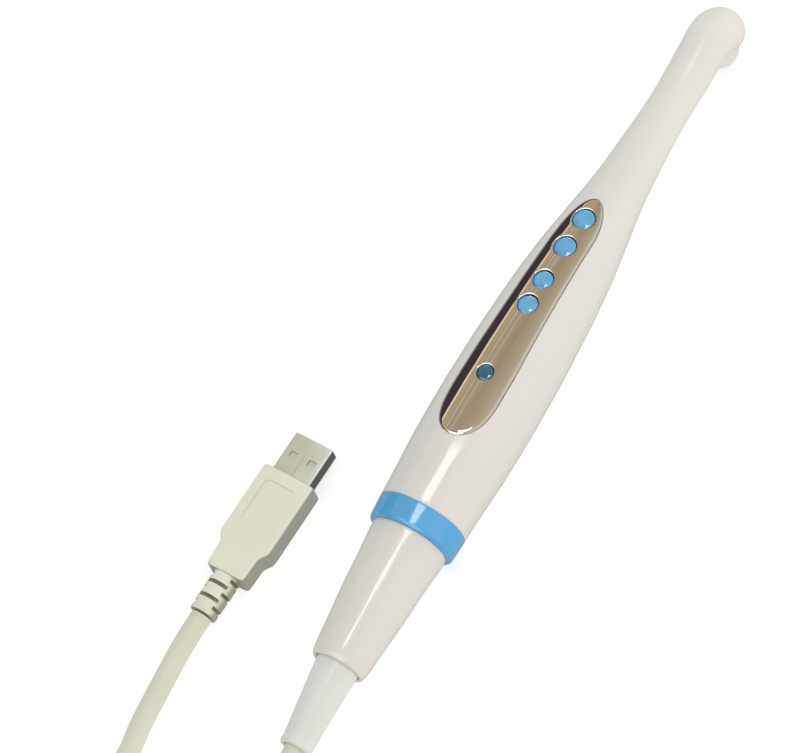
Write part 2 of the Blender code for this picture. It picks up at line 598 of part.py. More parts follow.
# ---------------------------------------------------------------- cord on the table
boot_exit = on_axis(BOOT_END_X, 0, 0)
cord_lead = [on_axis(4.2, 0, 0), on_axis(-8.0, 0, 0), boot_exit,
             Vector((-35.0 - X_MID, -0.5, 6.35)), Vector((-46.0 - X_MID, -2.2, 4.35)),
             Vector((-55.0 - X_MID, -4.9, 3.3)), Vector((-62.0 - X_MID, -8.2, 3.05))]
tube("cord_lead", through(cord_lead, 9.0), "beige")
plug_lead = [at_plug(-0.6, 0, 0), at_plug(-9.0, 0, -0.5), Vector((-21.7 - X_MID, 45.3, 3.1)),
             Vector((-33.6 - X_MID, 44.6, 3.05)), Vector((-45.6 - X_MID, 43.3, 3.1)),
             Vector((-55.6 - X_MID, 44.3, 4.5)), Vector((-63.0 - X_MID, 46.6, 6.1))]
tube("cord_plug_lead", through(plug_lead, 9.0), "beige")

coil_centre = Vector((COIL_X - X_MID, COIL_Y, 0))
coil_ring = []
for k in range(14):
    a = 2 * math.pi * k / 14
    c, s = math.cos(a), math.sin(a)
    reach = COIL_MEAN_R + COIL_WIDE / 2 * math.copysign(abs(c) ** 0.7, c)
    height = COIL_LOW + COIL_HIGH / 2 + COIL_HIGH / 2 * math.copysign(abs(s) ** 0.7, s)
    coil_ring.append((height, reach))
turned("cord_coil", coil_ring, "beige", local_z, 40, coil_centre)

strap = []
for x in (-6.0, 6.0):
    loops = []
    for grow in (0.35, 1.25):
        loop = []
        for k in range(24):
            a = 2 * math.pi * k / 24
            c, s = math.cos(a), math.sin(a)
            wide = COIL_WIDE / 2 + grow + 0.6
            high = COIL_HIGH / 2 + grow
            loop.append((x, wide * math.copysign(abs(c) ** 0.7, c),
                         high * math.copysign(abs(s) ** 0.7, s)))
        loops.append(loop)
    strap.append(loops)
band = bmesh.new()
edges = [[[band.verts.new(p) for p in loop] for loop in loops] for loops in strap]
skin(band, edges[0][0], edges[1][0])
skin(band, edges[1][0], edges[1][1])
skin(band, edges[1][1], edges[0][1])
skin(band, edges[0][1], edges[0][0])
tie_spot = coil_centre + Vector((COIL_MEAN_R * math.cos(TIE_ANGLE),
                                 COIL_MEAN_R * math.sin(TIE_ANGLE), COIL_LOW + COIL_HIGH / 2))
finish(band, "coil_tie", "tie_black", tie_spot, (0, 0, TIE_ANGLE + math.pi / 2))
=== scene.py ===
"""The looks of the intraoral camera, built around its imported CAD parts.

Lengths are millimetres and become metres when a mesh is made.  "Station" is the distance along
the handpiece from the rear rim of its tail sleeve; world X is the station minus X_MID.  +Z is the
side with the buttons, and the object lies on z = 0.
"""
import math

import bmesh
import bpy
import numpy as np
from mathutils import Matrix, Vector
from mathutils.geometry import delaunay_2d_cdt


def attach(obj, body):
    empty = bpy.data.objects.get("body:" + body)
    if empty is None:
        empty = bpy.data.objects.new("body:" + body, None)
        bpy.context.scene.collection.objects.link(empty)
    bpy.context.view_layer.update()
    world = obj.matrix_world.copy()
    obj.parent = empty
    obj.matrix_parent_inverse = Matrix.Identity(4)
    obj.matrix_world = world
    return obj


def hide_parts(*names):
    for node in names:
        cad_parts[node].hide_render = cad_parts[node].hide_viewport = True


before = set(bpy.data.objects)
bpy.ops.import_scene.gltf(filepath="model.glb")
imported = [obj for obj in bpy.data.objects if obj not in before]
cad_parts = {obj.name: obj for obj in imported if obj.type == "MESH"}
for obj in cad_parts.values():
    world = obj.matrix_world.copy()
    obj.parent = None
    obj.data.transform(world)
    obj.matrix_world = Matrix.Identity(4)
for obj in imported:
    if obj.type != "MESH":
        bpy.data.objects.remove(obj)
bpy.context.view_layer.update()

MM = 0.001

# ---------------------------------------------------------------- sizes taken from the frame
TIP_X = 213.9
BOOT_END_X = -24.4
X_MID = (TIP_X + BOOT_END_X) / 2

BODY_RADIUS = [
    (47.2, 12.92), (56.9, 13.3), (63.5, 13.7), (70.2, 13.9), (76.9, 14.0), (83.5, 14.0),
    (90.2, 13.85), (96.8, 13.7), (103.5, 13.4), (110.2, 13.0), (116.8, 12.6), (123.5, 12.0),
    (130.1, 11.3), (136.8, 10.3), (143.5, 9.3), (150.1, 8.25), (156.8, 7.45), (163.4, 6.95),
    (170.1, 6.5), (176.7, 6.15), (183.4, 6.05), (190.0, 6.2), (198.8, 6.25),
    (201.5, 6.4), (204.3, 6.8), (206.4, 7.1),
]
HEAD_X, HEAD_R, HEAD_ROUND = 206.4, 7.1, 2.0
CENTRE_Z = [
    (-26.0, 7.8), (-12.0, 10.3), (0.0, 11.9), (14.0, 12.6), (30.0, 13.3), (45.0, 13.75),
    (60.0, 14.0), (115.0, 14.0), (140.0, 13.9), (165.0, 13.6), (190.0, 12.95),
    (195.0, 13.3), (199.0, 13.65), (202.0, 13.5), (204.3, 12.35), (206.4, 11.2),
    (209.0, 10.2), (213.9, 9.6),
]
PANEL_HALF_WIDTH = [
    (67.5, 0.0), (67.9, 2.0), (68.8, 3.6), (70.4, 5.1), (72.8, 6.3), (76.0, 7.1), (81.0, 7.4),
    (88.0, 7.35), (98.0, 6.95), (112.0, 6.4), (125.0, 6.0), (134.0, 5.7), (138.5, 5.05),
    (141.5, 4.05), (143.6, 2.9), (145.0, 1.6), (145.7, 0.0),
]
PANEL_PROUD, PANEL_THICK = 0.35, 1.0
BUTTONS = [(138.7, 6.0), (129.1, 6.0), (117.8, 5.4), (109.6, 5.5)]
LIGHT_X, LIGHT_D = 87.0, 4.4
HOLE_GAP = 0.22
TIP_WALL, HEAD_WALL = 1.6, 1.5
LENS_X, RING_R, HEAD_Z = 204.2, 5.4, 12.7
PLUG_X, PLUG_Y, PLUG_Z = 0.31, 45.14, 4.0
PLUG_TURN = math.radians(-3.15)
USB_W, USB_T, USB_WALL = 12.0, 4.5, 0.3
USB_ROOT, USB_TIP, USB_BURIED = 44.2, 56.2, 5.8
CORD_R = 3.0
COIL_X, COIL_Y, COIL_MEAN_R = -111.0, 18.0, 36.0
COIL_WIDE, COIL_HIGH, COIL_LOW = 24.0, 12.1, 1.3
TIE_ANGLE = math.radians(-135)
TINY = 1e-6


# ---------------------------------------------------------------- shape functions
def smooth(table, x):
    """Value at x of a monotone cubic drawn through (x, value) pairs."""
    if x <= table[0][0]:
        return table[0][1]
    if x >= table[-1][0]:
        return table[-1][1]
    last = len(table) - 1
    i = max(k for k in range(last) if table[k][0] <= x)

    def chord(k):
        return (table[k + 1][1] - table[k][1]) / (table[k + 1][0] - table[k][0])

    def slope(k):
        if k == 0 or k == last:
            return chord(min(k, last - 1))
        before, after = chord(k - 1), chord(k)
        return 0.0 if before * after <= 0 else 2 * before * after / (before + after)

    (x0, v0), (x1, v1) = table[i], table[i + 1]
    h = x1 - x0
    t = (x - x0) / h
    return (v0 * (2 * t ** 3 - 3 * t ** 2 + 1) + v1 * (3 * t ** 2 - 2 * t ** 3)
            + h * slope(i) * (t ** 3 - 2 * t ** 2 + t) + h * slope(i + 1) * (t ** 3 - t ** 2))


def centre_z(x):
    return smooth(CENTRE_Z, x)


def body_r(x):
    if x <= HEAD_X:
        return smooth(BODY_RADIUS, x)
    part = min(1.0, (x - HEAD_X) / (TIP_X - HEAD_X))
    return HEAD_R * (1 - part ** HEAD_ROUND) ** (1 / HEAD_ROUND)


def on_axis(x, r, turn):
    """World point at a station, a radius from the centre line and a turn about it."""
    return Vector((x - X_MID, r * math.cos(turn), centre_z(x) + r * math.sin(turn)))


def upright(cx, cz):
    """Placement for pieces turned about a vertical axis."""
    def place(h, r, turn):
        return Vector((cx - X_MID + r * math.cos(turn), r * math.sin(turn), cz + h))
    return place


# ---------------------------------------------------------------- materials
NOISE_LOW, NOISE_HIGH = 0.3, 0.7              # most of a noise texture lies between these
NORMAL_UPRIGHT, NORMAL_LEVEL = 0.25, 0.8      # how far a face's normal points up or down, for the painted side shade
GLOSSY_BODY, SATIN_NECK = (0.05, 0.7), (0.085, 0.05)      # (world X in metres, coat weight)


def socket(shader, name, value):
    shader.inputs[name].default_value = value


class Look:
    """A Principled material whose colour, roughness and bump come from object-space noise."""

    def __init__(self, name, colour, rough, metal=0.0):
        self.mat = bpy.data.materials.new(name)
        self.mat.use_nodes = True
        self.nodes = self.mat.node_tree.nodes
        self.links = self.mat.node_tree.links
        self.shader = self.nodes["Principled BSDF"]
        self.place = self.nodes.new("ShaderNodeTexCoord").outputs["Object"]
        self.colour, self.rough = colour, rough
        socket(self.shader, "Base Color", (*colour, 1))
        socket(self.shader, "Roughness", rough)
        socket(self.shader, "Metallic", metal)

    def set(self, **values):
        for name, value in values.items():
            socket(self.shader, name.replace("_", " "), value)
        return self

    def noise(self, scale, detail=3.0, stretch=(1, 1, 1)):
        mapping = self.nodes.new("ShaderNodeMapping")
        mapping.inputs["Scale"].default_value = stretch
        texture = self.nodes.new("ShaderNodeTexNoise")
        texture.inputs["Scale"].default_value = scale
        texture.inputs["Detail"].default_value = detail
        self.links.new(self.place, mapping.inputs["Vector"])
        self.links.new(mapping.outputs["Vector"], texture.inputs["Vector"])
        return texture.outputs["Fac"]

    def vary(self, scale, amount, stretch=(1, 1, 1)):
        """Colour drifts a little darker and lighter."""
        ramp = self.nodes.new("ShaderNodeValToRGB")
        low = [max(0.0, c * (1 - amount)) for c in self.colour]
        high = [min(1.0, c * (1 + amount)) for c in self.colour]
        for stop, place, colour in zip(ramp.color_ramp.elements, (NOISE_LOW, NOISE_HIGH),
                                       (low, high)):
            stop.position = place
            stop.color = (*colour, 1)
        self.links.new(self.noise(scale, 2.0, stretch), ramp.inputs["Fac"])
        self.links.new(ramp.outputs["Color"], self.shader.inputs["Base Color"])
        return self

    def wear(self, scale, spread, stretch=(1, 1, 1)):
        """Roughness drifts up and down by the spread."""
        span = self.nodes.new("ShaderNodeMapRange")
        span.inputs["From Min"].default_value = NOISE_LOW
        span.inputs["From Max"].default_value = NOISE_HIGH
        span.inputs["To Min"].default_value = max(0.0, self.rough - spread)
        span.inputs["To Max"].default_value = self.rough + spread
        self.links.new(self.noise(scale, 4.0, stretch), span.inputs["Value"])
        self.links.new(span.outputs["Result"], self.shader.inputs["Roughness"])
        return self

    def fade(self, name, start, end):
        """An input changes along the handpiece, from (x in metres, value) to (x, value)."""
        place = self.nodes.new("ShaderNodeSeparateXYZ")
        self.links.new(self.place, place.inputs[0])
        span = self.nodes.new("ShaderNodeMapRange")
        for key, value in zip(("From Min", "To Min", "From Max", "To Max"), start + end):
            span.inputs[key].default_value = value
        self.links.new(place.outputs["X"], span.inputs["Value"])
        self.links.new(span.outputs["Result"], self.shader.inputs[name])

    def painted_side_shade(self, share):
        """Painted side shade: upright faces keep only a share of the colour that level faces have,
        as if they stood in shade.
        """
        normal = self.nodes.new("ShaderNodeSeparateXYZ")
        geometry = self.nodes.new("ShaderNodeNewGeometry")
        self.links.new(geometry.outputs["Normal"], normal.inputs[0])
        height = self.nodes.new("ShaderNodeMath")
        height.operation = "ABSOLUTE"
        self.links.new(normal.outputs["Z"], height.inputs[0])
        span = self.nodes.new("ShaderNodeMapRange")
        span.interpolation_type = "SMOOTHSTEP"
        span.inputs["From Min"].default_value = NORMAL_UPRIGHT
        span.inputs["From Max"].default_value = NORMAL_LEVEL
        span.inputs["To Min"].default_value = share
        self.links.new(height.outputs[0], span.inputs["Value"])
        base = self.shader.inputs["Base Color"]
        tint = self.nodes.new("ShaderNodeVectorMath")
        tint.operation = "SCALE"
        self.links.new(base.links[0].from_socket, tint.inputs[0])
        self.links.new(span.outputs["Result"], tint.inputs["Scale"])
        self.links.new(tint.outputs[0], base)
        return self

    def bump(self, scale, strength, depth, stretch=(1, 1, 1)):
        """Fine relief, its depth in millimetres."""
        node = self.nodes.new("ShaderNodeBump")
        node.inputs["Strength"].default_value = strength
        node.inputs["Distance"].default_value = depth * MM
        self.links.new(self.noise(scale, 3.0, stretch), node.inputs["Height"])
        self.links.new(node.outputs["Normal"], self.shader.inputs["Normal"])
        return self


def pearl_white():
    look = Look("pearl_white", (0.80, 0.78, 0.74), 0.32)
    look.set(Coat_Roughness=0.06)
    look.fade("Coat Weight", GLOSSY_BODY, SATIN_NECK)
    return look.vary(18.0, 0.02).wear(40.0, 0.04).bump(900.0, 0.15, 0.01).mat


def chrome():
    look = Look("warm_chrome", (0.80, 0.76, 0.70), 0.03, 1.0)
    return look.vary(60.0, 0.03, (1, 8, 8)).wear(300.0, 0.02, (0.3, 6, 6)).mat


def cap_blue():
    look = Look("cap_blue", (0.14, 0.46, 0.78), 0.10)
    look.set(Coat_Weight=1.0, Coat_Roughness=0.03, Subsurface_Weight=0.25,
             Subsurface_Radius=(0.001, 0.002, 0.004))
    return look.vary(260.0, 0.12).wear(200.0, 0.03).mat


def smoke_blue():
    look = Look("smoke_blue", (0.015, 0.14, 0.24), 0.08)
    look.set(Coat_Weight=1.0, Coat_Roughness=0.03)
    return look.vary(400.0, 0.2).wear(200.0, 0.02).mat


def ring_blue():
    look = Look("ring_blue", (0.095, 0.42, 0.80), 0.25)
    look.set(Coat_Weight=0.8, Coat_Roughness=0.05)
    return look.vary(30.0, 0.06).wear(80.0, 0.04).bump(1200.0, 0.1, 0.01).mat


def boot_clear():
    look = Look("boot_clear", (0.80, 0.82, 0.785), 0.30)
    look.set(Subsurface_Weight=0.15, Subsurface_Radius=(0.002, 0.002, 0.0015))
    return look.vary(40.0, 0.02).wear(120.0, 0.05).bump(700.0, 0.12, 0.02).mat


def ring_clear():
    look = Look("ring_clear", (0.80, 0.81, 0.785), 0.16)
    look.set(Coat_Weight=0.5, Subsurface_Weight=0.4, Subsurface_Radius=(0.003, 0.003, 0.003))
    return look.vary(120.0, 0.04).wear(150.0, 0.03).mat


def glass():
    look = Look("glass", (0.96, 0.98, 1.0), 0.02)
    look.set(Transmission_Weight=1.0, IOR=1.5)
    return look.wear(60.0, 0.01).mat


def cord_beige():
    look = Look("cord_beige", (0.75, 0.755, 0.62), 0.42)
    look.set(Subsurface_Weight=0.1, Subsurface_Radius=(0.003, 0.003, 0.002))
    return look.vary(35.0, 0.05).wear(160.0, 0.07).bump(1500.0, 0.25, 0.03).mat


def plug_beige():
    look = Look("plug_beige", (0.82, 0.825, 0.69), 0.46)
    look.set(Subsurface_Weight=0.08, Subsurface_Radius=(0.003, 0.003, 0.002))
    # the plug's upright sides take painted shade, darker than its top and bottom
    return look.vary(50.0, 0.03).painted_side_shade(0.42).wear(200.0, 0.06).bump(1800.0, 0.3, 0.03).mat


def plug_groove():
    # a dark colour for painted shade inside the strain relief's slots
    look = Look("plug_groove", (0.40, 0.40, 0.28), 0.7)
    return look.vary(300.0, 0.15).wear(300.0, 0.08).mat


def nickel():
    look = Look("nickel", (0.80, 0.88, 0.84), 0.42, 1.0)
    # the shell's upright sides take painted shade, darker than its top and bottom
    return look.vary(90.0, 0.03).painted_side_shade(0.3).wear(120.0, 0.05).bump(900.0, 0.05, 0.01).mat


def plain(name, colour, rough, metal=0.0, grain=800.0):
    """Look of the inner pieces: a fine grain over one colour."""
    return Look(name, colour, rough, metal).vary(150.0, 0.08).wear(250.0, 0.06).bump(
        grain, 0.2, 0.02).mat


def strap_black():
    look = Look("strap_black", (0.03, 0.03, 0.032), 0.85)
    look.set(Sheen_Weight=0.4, Sheen_Roughness=0.5)
    return look.vary(400.0, 0.3).wear(600.0, 0.1).bump(3000.0, 0.8, 0.15, (1, 1, 2.5)).mat


LOOKS = {
    "pearl_white": pearl_white(), "chrome": chrome(), "cap_blue": cap_blue(),
    "ring_blue": ring_blue(), "smoke_blue": smoke_blue(), "boot_clear": boot_clear(),
    "ring_clear": ring_clear(), "glass": glass(), "beige": cord_beige(),
    "plug_beige": plug_beige(), "plug_groove": plug_groove(), "steel": nickel(),
    "tie_black": strap_black(),
    "board_green": plain("board_green", (0.02, 0.15, 0.06), 0.4),
    "chip_black": plain("chip_black", (0.02, 0.02, 0.022), 0.5),
    "sensor_dark": plain("sensor_dark", (0.04, 0.04, 0.08), 0.12),
    "dark_plastic": plain("dark_plastic", (0.03, 0.03, 0.033), 0.5),
    "white_plastic": plain("white_plastic", (0.88, 0.88, 0.84), 0.4),
    "led_yellow": plain("led_yellow", (0.8, 0.75, 0.35), 0.3),
    "flex_amber": plain("flex_amber", (0.42, 0.18, 0.03), 0.35),
    "aluminium": plain("aluminium", (0.62, 0.63, 0.64), 0.35, 1.0),
    "brass": plain("brass", (0.68, 0.50, 0.20), 0.25, 1.0),
    "gold": plain("gold", (0.80, 0.60, 0.22), 0.2, 1.0),
    "loom_grey": plain("loom_grey", (0.28, 0.28, 0.30), 0.5),
}


# ---------------------------------------------------------------- mesh helpers
SHARP = 0.5      # radians that an edge may turn and still be shaded smooth


def mark_edges(bm, sharp):
    """Shade a bmesh smooth, apart from edges that turn by more than the sharp angle."""
    for face in bm.faces:
        face.smooth = True
    for edge in bm.edges:
        if len(edge.link_faces) == 2:
            edge.smooth = edge.calc_face_angle(0.0) < sharp


def piece(bm, name, look, body="handpiece", nodes=(), sharp=SHARP):
    """Turn a bmesh in millimetres and world axes into a piece that rides on a body."""
    bmesh.ops.recalc_face_normals(bm, faces=bm.faces)
    mark_edges(bm, sharp)
    bmesh.ops.scale(bm, vec=(MM, MM, MM), verts=bm.verts)
    mesh = bpy.data.meshes.new(name)
    bm.to_mesh(mesh)
    bm.free()
    obj = bpy.data.objects.new(name, mesh)
    bpy.context.scene.collection.objects.link(obj)
    if look:
        mesh.materials.append(LOOKS[look])
        dress(obj, body, nodes)
    return obj


def dress(obj, body, nodes):
    """Tell the frame what a piece rides on and what it stands for."""
    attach(obj, body)
    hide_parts(*nodes)


def skin(bm, first, second):
    """Faces between two neighbouring rings; a ring of one vertex is a point on the axis."""
    count = max(len(first), len(second))
    for k in range(count):
        corners = [first[k % len(first)], first[(k + 1) % len(first)],
                   second[(k + 1) % len(second)], second[k % len(second)]]
        distinct = list(dict.fromkeys(corners))
        if len(distinct) > 2:
            bm.faces.new(distinct)


def revolve(profile, place=on_axis, sides=96):
    """Solid of revolution as a bmesh.  A profile with ends at radius 0 is open at the axis."""
    bm = bmesh.new()
    rings = []
    for along, radius in profile:
        if radius < TINY:
            rings.append([bm.verts.new(place(along, 0.0, 0.0))])
        else:
            angles = [2 * math.pi * k / sides for k in range(sides)]
            rings.append([bm.verts.new(place(along, radius, a)) for a in angles])
    for first, second in zip(rings, rings[1:]):
        skin(bm, first, second)
    if len(rings[0]) > 1:
        skin(bm, rings[-1], rings[0])
    return bm


def rounded(points, radii, arc=5):
    """A polyline of (along, radius) corners, each rounded by its own radius with a short curve."""
    out = []
    for k, point in enumerate(points):
        here = Vector(point)
        before = Vector(points[k - 1]) - here
        after = Vector(points[(k + 1) % len(points)]) - here
        r = min(radii[k], before.length * 0.49, after.length * 0.49)
        if r < TINY:
            out.append(tuple(here))
            continue
        a, b = here + before.normalized() * r, here + after.normalized() * r
        for j in range(arc + 1):
            t = j / arc
            out.append(tuple((1 - t) ** 2 * a + 2 * t * (1 - t) * here + t ** 2 * b))
    return out


def cut(obj, tool_bm, name):
    """Boolean difference, applied at once, with a tool that is then removed."""
    tool = piece(tool_bm, name, None)
    step = obj.modifiers.new(name, "BOOLEAN")
    step.operation, step.solver, step.object = "DIFFERENCE", "EXACT", tool
    bake(obj)
    bpy.data.objects.remove(tool, do_unlink=True)


def bake(obj):
    """Apply an object's modifiers and mark its edges again."""
    ready = obj.evaluated_get(bpy.context.evaluated_depsgraph_get())
    mesh = bpy.data.meshes.new_from_object(ready)
    obj.modifiers.clear()
    obj.data = mesh
    bm = bmesh.new()
    bm.from_mesh(mesh)
    mark_edges(bm, SHARP)
    bm.to_mesh(mesh)
    bm.free()


def loft(sections, close_ends=True):
    """Skin through closed sections of equal point count as a bmesh."""
    bm = bmesh.new()
    rings = [[bm.verts.new(point) for point in section] for section in sections]
    for first, second in zip(rings, rings[1:]):
        skin(bm, first, second)
    if close_ends:
        bm.faces.new(rings[0])
        bm.faces.new(list(reversed(rings[-1])))
    else:
        skin(bm, rings[-1], rings[0])
    return bm


# ---------------------------------------------------------------- camera
SIGHT = Vector((-0.2672, -0.3919, 0.8803)).normalized()
PICTURE_UP = Vector((0.8194, 0.3885, 0.4217))
AIM = Vector((77.4 - X_MID, 22.46, 24.0))
AWAY = 5000.0
ROLL = math.radians(0.85)
SHOWN_WIDTH = 213.9
SENSOR = 36.0

camera_data = bpy.data.cameras.new("camera")
camera_data.sensor_width = SENSOR
camera_data.lens = SENSOR * AWAY / SHOWN_WIDTH
camera_data.clip_start = 0.01
camera_data.clip_end = 200.0
camera = bpy.data.objects.new("camera", camera_data)
bpy.context.scene.collection.objects.link(camera)
camera.location = (AIM + SIGHT * AWAY) * MM
right = PICTURE_UP.cross(SIGHT).normalized()
up = SIGHT.cross(right).normalized()
right, up = (right * math.cos(ROLL) - up * math.sin(ROLL),
             right * math.sin(ROLL) + up * math.cos(ROLL))
turn = camera.matrix_world.to_3x3()
turn.col[0], turn.col[1], turn.col[2] = right, up, SIGHT
camera.rotation_euler = turn.to_euler()
bpy.context.scene.camera = camera


# ---------------------------------------------------------------- cord: lead, coil and plug lead
def at_plug(x, y, z):
    """World point from the plug's own frame: x toward its tip, z from its mid plane."""
    side = math.cos(PLUG_TURN) * y + math.sin(PLUG_TURN) * x
    along = math.cos(PLUG_TURN) * x - math.sin(PLUG_TURN) * y
    return Vector((PLUG_X - X_MID + along, PLUG_Y + side, PLUG_Z + z))


def station(x, y, z):
    """World point at a station."""
    return Vector((x - X_MID, y, z))


PER_TURN = 24
PITCH = 6.05
COIL_INNER, COIL_BOTTOM = 26.93, 4.3
COIL_START, COIL_END = -58.0, 62.0
SEATS = [(3, 0), (2, 0), (1, 0), (0, 0), (0, 1), (1, 1), (2, 1), (3, 1)]
SHIFT_FROM = 2 / 3
SWAY_AND_RISE = {4: (0.12, 0.3), 5: (0.10, 0.08), 6: (0.05, 0.0)}
coil_centre = station(COIL_X, COIL_Y, 0.0)


def seat_at(number, part):
    """Column and layer of one turn, in pitches, while it shifts over to the next turn's seat."""
    s = part * part * (3 - 2 * part)
    hump = math.sin(math.pi * s) ** 2
    (c0, l0), (c1, l1) = SEATS[number], SEATS[min(number + 1, len(SEATS) - 1)]
    if (c0, l0) == (0, 0):
        return 1 - s - math.cos(math.pi / 2 * s), math.sin(math.pi / 2 * s)
    sway, rise = SWAY_AND_RISE.get(number, (0.0, 0.0))
    return c0 + (c1 - c0) * s + sway * hump, l0 + (l1 - l0) * s + rise * hump


def coil_points():
    """Turns wound inward on the bottom layer and outward on the layer above."""
    out = []
    last = len(SEATS) - 1 + (360 - (COIL_END - COIL_START)) / 360
    for k in range(round(last * PER_TURN) + 1):
        tau = k / PER_TURN
        number = min(int(tau + TINY), len(SEATS) - 1)
        part = max(0.0, (tau - number - SHIFT_FROM) / (1 - SHIFT_FROM))
        column, layer = seat_at(number, part)
        r = COIL_INNER + PITCH * column
        a = math.radians(COIL_START - 360.0 * tau)
        out.append(coil_centre + Vector((r * math.cos(a), r * math.sin(a),
                                         COIL_BOTTOM + PITCH * layer)))
    return out


def axis_point(x):
    """World point on the centre line."""
    return on_axis(x, 0.0, 0.0)


boot_exit = axis_point(BOOT_END_X)
lead_in = [axis_point(4.2), axis_point(-8.0), boot_exit, station(-35.0, -0.5, 6.35),
           station(-46.0, -2.2, 4.35), station(-55.0, -4.9, 3.3), station(-62.0, -8.2, 3.05),
           station(-75.0, -14.2, 3.4)]
lead_out = [station(-81.0, 53.4, 10.3), station(-74.0, 50.2, 9.4), station(-66.0, 47.3, 7.0),
            station(-55.6, 44.4, 4.4), station(-45.6, 43.3, 3.15), station(-33.6, 44.6, 3.05),
            station(-21.7, 45.3, 3.1), at_plug(-9.0, 0, -0.5), at_plug(-0.6, 0, 0)]
cord_points = lead_in + coil_points() + lead_out

cord_curve = bpy.data.curves.new("cord", "CURVE")
cord_curve.dimensions = "3D"
cord_curve.bevel_depth = CORD_R * MM
cord_curve.bevel_resolution = 8
cord_curve.resolution_u = 8
cord_curve.use_fill_caps = True
spline = cord_curve.splines.new("BEZIER")
spline.bezier_points.add(len(cord_points) - 1)
for knot, point in zip(spline.bezier_points, cord_points):
    knot.co = point * MM
    knot.handle_left_type = knot.handle_right_type = "AUTO"
cord = bpy.data.objects.new("cord", cord_curve)
bpy.context.scene.collection.objects.link(cord)
cord_curve.materials.append(LOOKS["beige"])
dress(cord, "handpiece", ("cord_lead", "cord_coil", "cord_plug_lead"))


def squared(c, power):
    """A sine or cosine pushed out toward a square's corner."""
    return math.copysign(abs(c) ** power, c)


STRAP_HALF, STRAP_IN, STRAP_OUT = 6.0, 0.35, 1.25
STRAP_SIDES, STRAP_EASE, STRAP_SQUARE = 96, 0.6, 0.7
strap_outline = rounded([(-STRAP_HALF, STRAP_IN), (STRAP_HALF, STRAP_IN),
                         (STRAP_HALF, STRAP_OUT), (-STRAP_HALF, STRAP_OUT)], [0.3] * 4, 3)
across = Vector((math.cos(TIE_ANGLE), math.sin(TIE_ANGLE), 0))
along = Vector((-math.sin(TIE_ANGLE), math.cos(TIE_ANGLE), 0))
strap_centre = coil_centre + across * COIL_MEAN_R + Vector((0, 0, COIL_LOW + COIL_HIGH / 2))
strap_rings = []
for x, grow in strap_outline:
    ring = []
    for k in range(STRAP_SIDES):
        a = 2 * math.pi * k / STRAP_SIDES
        wide = (COIL_WIDE / 2 + grow + STRAP_EASE) * squared(math.cos(a), STRAP_SQUARE)
        high = (COIL_HIGH / 2 + grow) * squared(math.sin(a), STRAP_SQUARE)
        ring.append(strap_centre + along * x + across * wide + Vector((0, 0, high)))
    strap_rings.append(ring)
strap = piece(loft(strap_rings, close_ends=False), "coil_strap", "tie_black", nodes=["coil_tie"])


# ---------------------------------------------------------------- body shells
REAR_EDGE = [(47.15, 12.67), (47.2, 12.83)]
BODY_START, BODY_STEP, TIP_STEPS = 47.45, 0.9, 24
WALL = [(140.0, 2.0), (170.0, 1.6), (190.0, 1.5)]
SEAM, SEAM_EASE = 0.03, 0.06


def body_profile():
    """Stations and radii of the outside, closer together toward the rounded tip."""
    out = list(REAR_EDGE)
    x = BODY_START
    while x < HEAD_X - 0.5:
        out.append((x, body_r(x)))
        x += BODY_STEP
    for k in range(TIP_STEPS + 1):
        x = HEAD_X + (TIP_X - HEAD_X) * math.sin(math.pi / 2 * k / TIP_STEPS)
        out.append((x, body_r(x)))
    return out


def half_shell(name, side, steps=64):
    """Upper (+1) or lower (-1) half of the hollow body, with a hair-fine seam between them."""
    outer = body_profile()
    inner = []
    for x, r in outer:
        if x <= HEAD_X:
            inner.append((x, body_r(x) - smooth(WALL, x)))
        else:
            shrink = (TIP_X - HEAD_X - TIP_WALL) / (TIP_X - HEAD_X)
            inner.append((HEAD_X + (x - HEAD_X) * shrink, r * (HEAD_R - HEAD_WALL) / HEAD_R))
    bm = bmesh.new()

    def arc(x, r):
        out = []
        for j in range(steps + 1):
            a = math.pi * j / steps
            height = SEAM + (r - SEAM) * math.sin(a)
            if j in (0, steps):
                point = (x - X_MID, math.copysign(max(r - SEAM_EASE, 0.0), math.cos(a)),
                         centre_z(x) + side * SEAM)
            else:
                point = (x - X_MID, r * math.cos(a), centre_z(x) + side * height)
            out.append(bm.verts.new(point))
        return out

    outside = [arc(x, r) for x, r in outer if r > 0.01]
    inside = [arc(x, r) for x, r in inner if r > 0.01]
    for arcs, tip in ((outside, TIP_X), (inside, TIP_X - TIP_WALL)):
        point = bm.verts.new((tip - X_MID, 0, centre_z(tip) + side * SEAM))
        arcs.append([point] * (steps + 1))
        for first, second in zip(arcs, arcs[1:]):
            for j in range(steps):
                corners = [first[j], first[j + 1], second[j + 1], second[j]]
                bm.faces.new(list(dict.fromkeys(corners)))
    for j in range(steps):
        bm.faces.new([outside[0][j], outside[0][j + 1], inside[0][j + 1], inside[0][j]])
    for j in (0, steps):
        for i in range(len(outside) - 1):
            bm.faces.new([outside[i][j], outside[i + 1][j], inside[i + 1][j], inside[i][j]])
    return piece(bm, name, "pearl_white", nodes=[name.replace("body_", "") + "_shell"])


def leaf_edge(grow, count=120):
    """Points around the leaf-shaped panel's outline, grown outward, as (station, side)."""
    start, end = PANEL_HALF_WIDTH[0][0], PANEL_HALF_WIDTH[-1][0]
    half = []
    for k in range(count + 1):
        x = start + (end - start) * (1 - math.cos(math.pi * k / count)) / 2
        half.append((x, smooth(PANEL_HALF_WIDTH, x)))
    loop = [Vector(p) for p in half] + [Vector((x, -w)) for x, w in reversed(half[1:-1])]
    total = len(loop)
    out = []
    for k in range(total):
        ahead = loop[(k + 1) % total] - loop[k - 1]
        normal = Vector((-ahead.y, ahead.x)).normalized()
        out.append(loop[k] + normal * grow)
    return out


def on_body(x, y, height):
    """World point above station x and side y, a height outside the body's surface."""
    r = body_r(x) + height
    return Vector((x - X_MID, y, centre_z(x) + math.sqrt(max(r * r - y * y, 0.0))))


